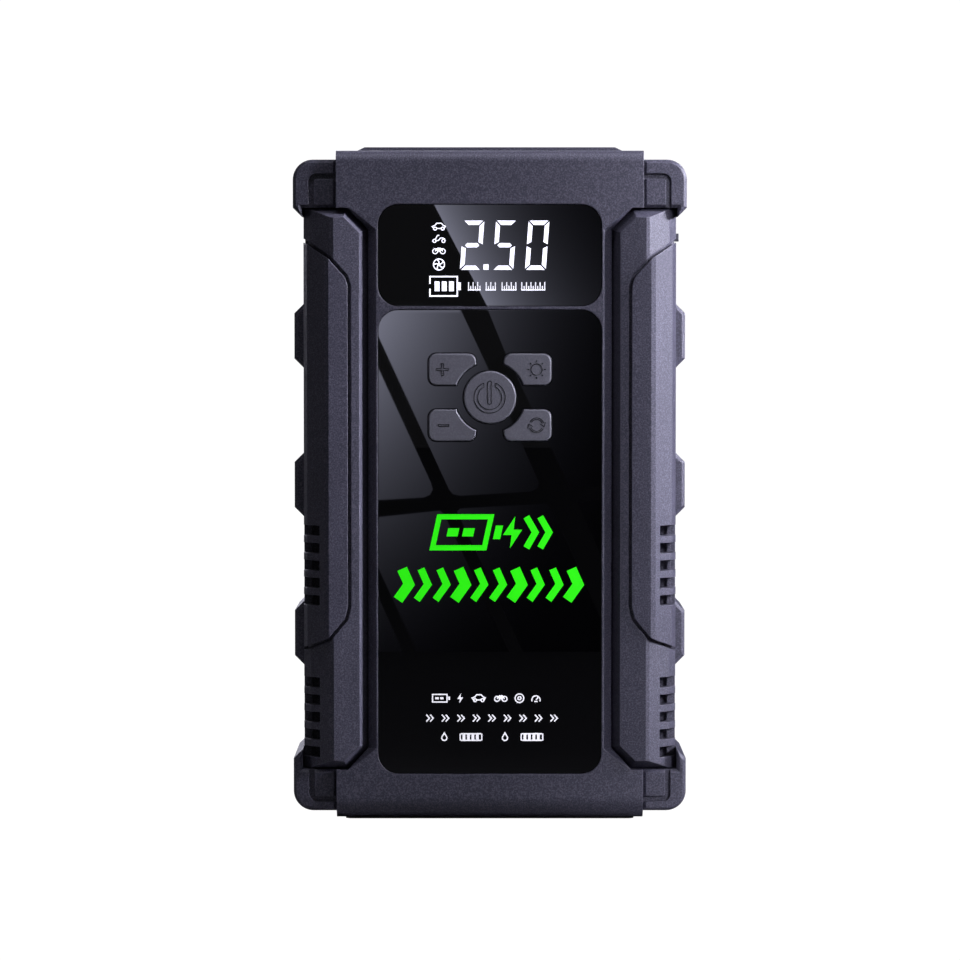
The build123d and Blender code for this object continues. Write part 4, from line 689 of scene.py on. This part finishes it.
def build_key_marks():
    """Power, plus, minus, torch and mode marks as thin dark outlines of painted shade, in place of engraved
    grooves.
    """
    line = KEY_LINE
    x, z = key_middle("power_button")
    power = stroke(arc(x, z, 4.5, 113, 427), line) + stroke(arc(x, z, 3.5, 118, 422), line)
    for outer, inner in ((113, 118), (427, 422)):
        ends = [(4.5, math.radians(outer)), (3.5, math.radians(inner))]
        power += stroke([(x + r * math.cos(a), z + r * math.sin(a)) for r, a in ends], line)
    power += stroke([*arc(x, z + 4.2, 0.55, 0, 180), *arc(x, z - 1.4, 0.55, 180, 360)], line, closed=True)
    key_mark("power_mark", "power_button", "power_key_body", power)
    x, z = key_middle("plus_button")
    arm, half = 1.75, 0.3
    cross = [(half, half), (half, arm), (-half, arm), (-half, half), (-arm, half), (-arm, -half),
             (-half, -half), (-half, -arm), (half, -arm), (half, -half), (arm, -half), (arm, half)]
    plus = moved(stroke(cross[::-1], line, closed=True), x - KEY_MARK_SHIFT, z)
    key_mark("plus_mark", "plus_button", "plus_key_body", plus)
    x, z = key_middle("minus_button")
    x += 0.3 - KEY_MARK_SHIFT
    minus = box_line(x - 1.5, x + 1.5, z - 0.25, z + 0.25, line)
    key_mark("minus_mark", "minus_button", "minus_key_body", minus)
    x, z = key_middle("light_button")
    x += KEY_MARK_SHIFT - 0.1
    sun = ring(x, z, 1.6, 0.28)
    for k in range(8):
        a = math.radians(45 * k)
        sun += stroke([(x + reach * math.cos(a), z + reach * math.sin(a)) for reach in (2.1, 2.7)], 0.32)
    key_mark("torch_mark", "light_button", "light_key_body", sun)
    x, z = key_middle("mode_button")
    x += KEY_MARK_SHIFT - 0.1
    cycle = []
    for start in (20, 200):
        for radius in (2.15, 1.7):
            cycle += stroke(arc(x, z, radius, start, start + 130), line)
        a = math.radians(start)
        point = (x + 1.92 * math.cos(a), z + 1.92 * math.sin(a))
        turn = math.radians(start - 90)
        tip = (point[0] + 1.1 * math.cos(turn), point[1] + 1.1 * math.sin(turn))
        side = (math.cos(a) * 0.8, math.sin(a) * 0.8)
        cycle += stroke([(point[0] - side[0], point[1] - side[1]), tip,
                         (point[0] + side[0], point[1] + side[1])], line)
    key_mark("mode_mark", "mode_button", "mode_key_body", cycle)


def build_label_ruling():
    """A border and three rules on the blank rear label."""
    low, high = in_mm("rear_label")
    inset, line = 2.0, 0.35
    ruling = box_line(low.x + inset, high.x - inset, low.z + inset, high.z - inset, line)
    for share in (0.3, 0.5, 0.7):
        level = low.z + share * (high.z - low.z)
        ruling += bar(low.x + 2 * inset, high.x - 2 * inset, level - line / 2, level + line / 2)
    flat_piece("label_ruling", ruling, high.y * mm + PRINT_DEPTH, "casing", label_line)


build_display()
build_panel_print()
build_key_marks()
build_label_ruling()


# ---------------------------------------------------------------- stage, lights and camera
# Strength of the white that the camera sees, and the backdrop's lengths in metres
SEEN_WHITE = 1.05
FLOOR_HALF = 3.0
FLOOR_BACK = 2.2
FLOOR_BEND = 0.6
FLOOR_RISE = 3.0
FLOOR_GAP = 0.02 * mm


def staged_mesh(name, corners, faces, material):
    """A mesh that belongs to the studio."""
    mesh = bpy.data.meshes.new(name)
    mesh.from_pydata(corners, [], faces)
    mesh.materials.append(material)
    piece = bpy.data.objects.new(name, mesh)
    bpy.context.scene.collection.objects.link(piece)
    return piece


def studio_white():
    """White for the camera, and a dim grey for the light that it sends onto the pack."""
    material, tree, shader = new_material("studio_white")
    glow = tree.nodes.new("ShaderNodeEmission")
    glow.inputs["Color"].default_value = (1, 1, 1, 1)
    glow.inputs["Strength"].default_value = SEEN_WHITE
    shader.inputs["Base Color"].default_value = (0.2, 0.2, 0.2, 1)
    shader.inputs["Roughness"].default_value = 0.9
    rays = tree.nodes.new("ShaderNodeLightPath")
    mix = tree.nodes.new("ShaderNodeMixShader")
    tree.links.new(rays.outputs["Is Camera Ray"], mix.inputs["Fac"])
    tree.links.new(shader.outputs[0], mix.inputs[1])
    tree.links.new(glow.outputs[0], mix.inputs[2])
    tree.links.new(mix.outputs[0], tree.nodes["Material Output"].inputs["Surface"])
    return material


def build_floor():
    """A pale floor that curves up into a backdrop behind the pack."""
    back, bend = FLOOR_BACK, FLOOR_BEND
    profile = [(-FLOOR_HALF, 0.0), (back - bend, 0.0)]
    profile += [(back - bend + bend * math.sin(a), bend - bend * math.cos(a))
                for a in (math.radians(9 * k) for k in range(1, 11))]
    profile.append((back, FLOOR_RISE))
    corners = [(side * FLOOR_HALF, y, z - FLOOR_GAP) for y, z in profile for side in (-1, 1)]
    faces = [(2 * k, 2 * k + 1, 2 * k + 3, 2 * k + 2) for k in range(len(profile) - 1)]
    floor = staged_mesh("studio_floor", corners, faces, studio_white())
    for polygon in floor.data.polygons:
        polygon.use_smooth = True


def build_world():
    """Plain white surroundings, bright for the camera and dim as a light."""
    world = bpy.data.worlds.new("studio")
    bpy.context.scene.world = world
    world.use_nodes = True
    tree = world.node_tree
    tree.nodes.clear()
    out = tree.nodes.new("ShaderNodeOutputWorld")
    rays = tree.nodes.new("ShaderNodeLightPath")
    seen = tree.nodes.new("ShaderNodeBackground")
    cast = tree.nodes.new("ShaderNodeBackground")
    seen.inputs["Strength"].default_value = SEEN_WHITE
    seen.inputs["Color"].default_value = (1, 1, 1, 1)
    cast.inputs["Color"].default_value = (0.92, 0.92, 1.0, 1)
    cast.inputs["Strength"].default_value = 0.09
    mix = tree.nodes.new("ShaderNodeMixShader")
    tree.links.new(rays.outputs["Is Camera Ray"], mix.inputs[0])
    tree.links.new(cast.outputs[0], mix.inputs[1])
    tree.links.new(seen.outputs[0], mix.inputs[2])
    tree.links.new(mix.outputs[0], out.inputs["Surface"])


centre = (cad_low + cad_high) / 2

# Soft boxes: name, place, aim, size, power in watts and spread in degrees. Places and aims are in
# metres from the middle of the pack's box.
LIGHT_SHADE = (0.94, 0.93, 1.1)
FULL_SPREAD = 180
SOFT_BOXES = [
    ("side_light", (0.6, -0.13, 0.27), (0.05, -0.02, 0.06), (0.15, 0.25), 0.5, 30),
    ("top_light", (0.03, -0.12, 0.32), (0, -0.03, 0.02), (0.3, 0.06), 0.32, FULL_SPREAD),
    ("rear_fill", (-0.35, 1.1, 0.45), (0, 0, 0), (0.8, 0.8), 7.0, FULL_SPREAD),
    ("low_side_light", (0.9, -0.08, -0.02), (0, 0, 0), (0.3, 0.5), 0.3, FULL_SPREAD),
    ("edge_light", (0.5, -0.9, 0.35), (0.095, -0.02, 0.04), (0.05, 0.5), 0.14, 9),
]


def area_light(name, place, aim, size, power, spread):
    """A soft box that looks at a point."""
    lamp = bpy.data.lights.new(name, "AREA")
    lamp.shape = "RECTANGLE"
    lamp.size, lamp.size_y = size
    lamp.energy = power
    lamp.color = LIGHT_SHADE
    lamp.spread = math.radians(spread)
    holder = bpy.data.objects.new(name, lamp)
    bpy.context.scene.collection.objects.link(holder)
    holder.location = centre + Vector(place)
    way = Vector(aim) - Vector(place)
    holder.rotation_euler = way.to_track_quat("-Z", "Y").to_euler()
    holder.visible_camera = False


# Camera: distance in metres, rise in degrees, width of the view at the aim, sensor width in
# millimetres, and the aim's offset from the middle of the pack's front
CAMERA_DISTANCE = 1.3
CAMERA_RISE = 2.5
VIEW_WIDTH = 277.4 * mm
SENSOR = 36.0
AIM_OFFSET = Vector((-2.84 * mm, 0.0, 1.33 * mm))


def build_camera():
    """A long lens, a little above the pack's middle, square to its front."""
    camera = bpy.data.cameras.new("camera")
    camera.sensor_width = SENSOR
    camera.lens = SENSOR * CAMERA_DISTANCE / VIEW_WIDTH
    holder = bpy.data.objects.new("camera", camera)
    bpy.context.scene.collection.objects.link(holder)
    aim = Vector((centre.x, cad_low.y, centre.z)) + AIM_OFFSET
    tilt = math.radians(CAMERA_RISE)
    holder.location = aim + CAMERA_DISTANCE * Vector((0, -math.cos(tilt), math.sin(tilt)))
    holder.rotation_euler = (math.radians(90) - tilt, 0, 0)
    bpy.context.scene.camera = holder
    return holder


def window_light():
    """Light of the reflection card: its strength is painted on its corners."""
    material, tree, shader = new_material("window_light")
    tree.nodes.remove(shader)
    paint = tree.nodes.new("ShaderNodeVertexColor")
    paint.layer_name = "light"
    glow = tree.nodes.new("ShaderNodeEmission")
    glow.inputs["Strength"].default_value = 1.0
    tree.links.new(paint.outputs["Color"], glow.inputs["Color"])
    tree.links.new(glow.outputs[0], tree.nodes["Material Output"].inputs["Surface"])
    return material


# Panes seen in the gloss panels: outlines in millimetres from the pack's middle plane and base.
# Places above PANEL_TOP are as bright as the display window's pane is there.
PANEL_TOP = 148.8
DISPLAY_PANE = [(-17.3, 181.0), (-0.5, 148.9), (33.4, 148.9), (33.4, 181.0)]
PANEL_PANES = [
    [(-33.3, 133.7), (-17.05, 98.3), (-16.5, 96.3), (-17.3, 94.8), (-19.1, 94.0), (-33.3, 93.2)],
    [(-33.3, 148.9), (-8.7, 148.9), (-0.23, 130.8), (13.4, 100.3), (14.3, 98.0), (13.7, 96.6), (11.9, 95.7),
     (-8.6, 94.5), (-10.7, 95.0), (-11.8, 96.3), (-33.3, 143.0)],
    [(-0.8, 148.9), (33.4, 148.9), (33.4, 97.2), (23.3, 96.6), (12.2, 119.8), (4.7, 135.4)],
    [(-33.3, 88.2), (-14.4, 90.2), (-13.3, 89.3), (1.2, 58.6), (15.1, 28.4), (-11.5, 28.4), (-33.3, 75.7)],
    [(-8.6, 90.8), (16.3, 92.2), (17.75, 91.1), (32.0, 59.2), (32.0, 28.4), (19.5, 28.4), (-9.5, 89.9)],
    [(25.3, 92.8), (33.4, 93.4), (33.4, 74.5)],
    [(-33.3, 67.3), (-30.4, 60.9), (-20.2, 38.3), (-33.3, 38.3)],
]


# The panes' brightness: its peak, how fast it falls across the display pane from that pane's left
# edge, and how it falls over the panel's panes to the right of PEAK_X and below PEAK_Z. Falls are
# per millimetre, and the curved ones per square millimetre.
PEAK_LIGHT = 3.9
DISPLAY_EDGE_SLOPE = 0.523
DISPLAY_FALL = 0.0895
PEAK_X, PEAK_Z = -31.3, 145.6
ACROSS_FALL, ACROSS_CURVE = 0.0368, 5.19e-4
DOWN_FALL, DOWN_CURVE = 0.01838, 2.485e-4
PANE_TINT = (0.98, 1.0, 1.3)
CARD_DISTANCE = 0.6
CARD_CUTS = 5


def pane_light(x, z):
    """Brightness of the window seen at a place on the panels: strongest at the upper left."""
    if z > PANEL_TOP:
        left, top = DISPLAY_PANE[0]
        edge = left + (top - z) * DISPLAY_EDGE_SLOPE
        return PEAK_LIGHT * math.exp(-DISPLAY_FALL * max(0.0, x - edge))
    across = x - PEAK_X
    down = max(0.0, PEAK_Z - z)
    fall = ACROSS_FALL * across + ACROSS_CURVE * across ** 2 + DOWN_FALL * down + DOWN_CURVE * down ** 2
    return PEAK_LIGHT * math.exp(-fall)


def build_window_card(camera):
    """A card before the pack whose lit panes show as reflections in the two gloss panels."""
    plane_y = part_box("control_panel")[0].y
    eye = camera.location.copy()
    eye.y = 2 * plane_y - eye.y
    reach = CARD_DISTANCE / (eye.y - plane_y)
    build = bmesh.new()
    for pane in (DISPLAY_PANE, *PANEL_PANES):
        build.faces.new([build.verts.new((x, 0, z)) for x, z in pane])
    bmesh.ops.triangulate(build, faces=build.faces)
    for _ in range(CARD_CUTS):
        bmesh.ops.subdivide_edges(build, edges=build.edges, cuts=1, use_grid_fill=True)
    places = [(corner.co.x, corner.co.z) for corner in build.verts]
    for corner in build.verts:
        spot = Vector((corner.co.x * mm, plane_y, corner.co.z * mm))
        corner.co = spot + (spot - eye) * reach
    card = staged_mesh("window_card", [], [], window_light())
    build.to_mesh(card.data)
    build.free()
    paint = card.data.color_attributes.new("light", "FLOAT_COLOR", "POINT")
    for k, (x, z) in enumerate(places):
        bright = pane_light(x, z)
        paint.data[k].color = (*(bright * share for share in PANE_TINT), 1)
    card.visible_camera = False
    card.visible_diffuse = False
    card.visible_shadow = False
    card.visible_transmission = False


build_floor()
build_world()
build_window_card(build_camera())
for soft_box in SOFT_BOXES:
    area_light(*soft_box)
bpy.context.scene.view_settings.view_transform = "Standard"
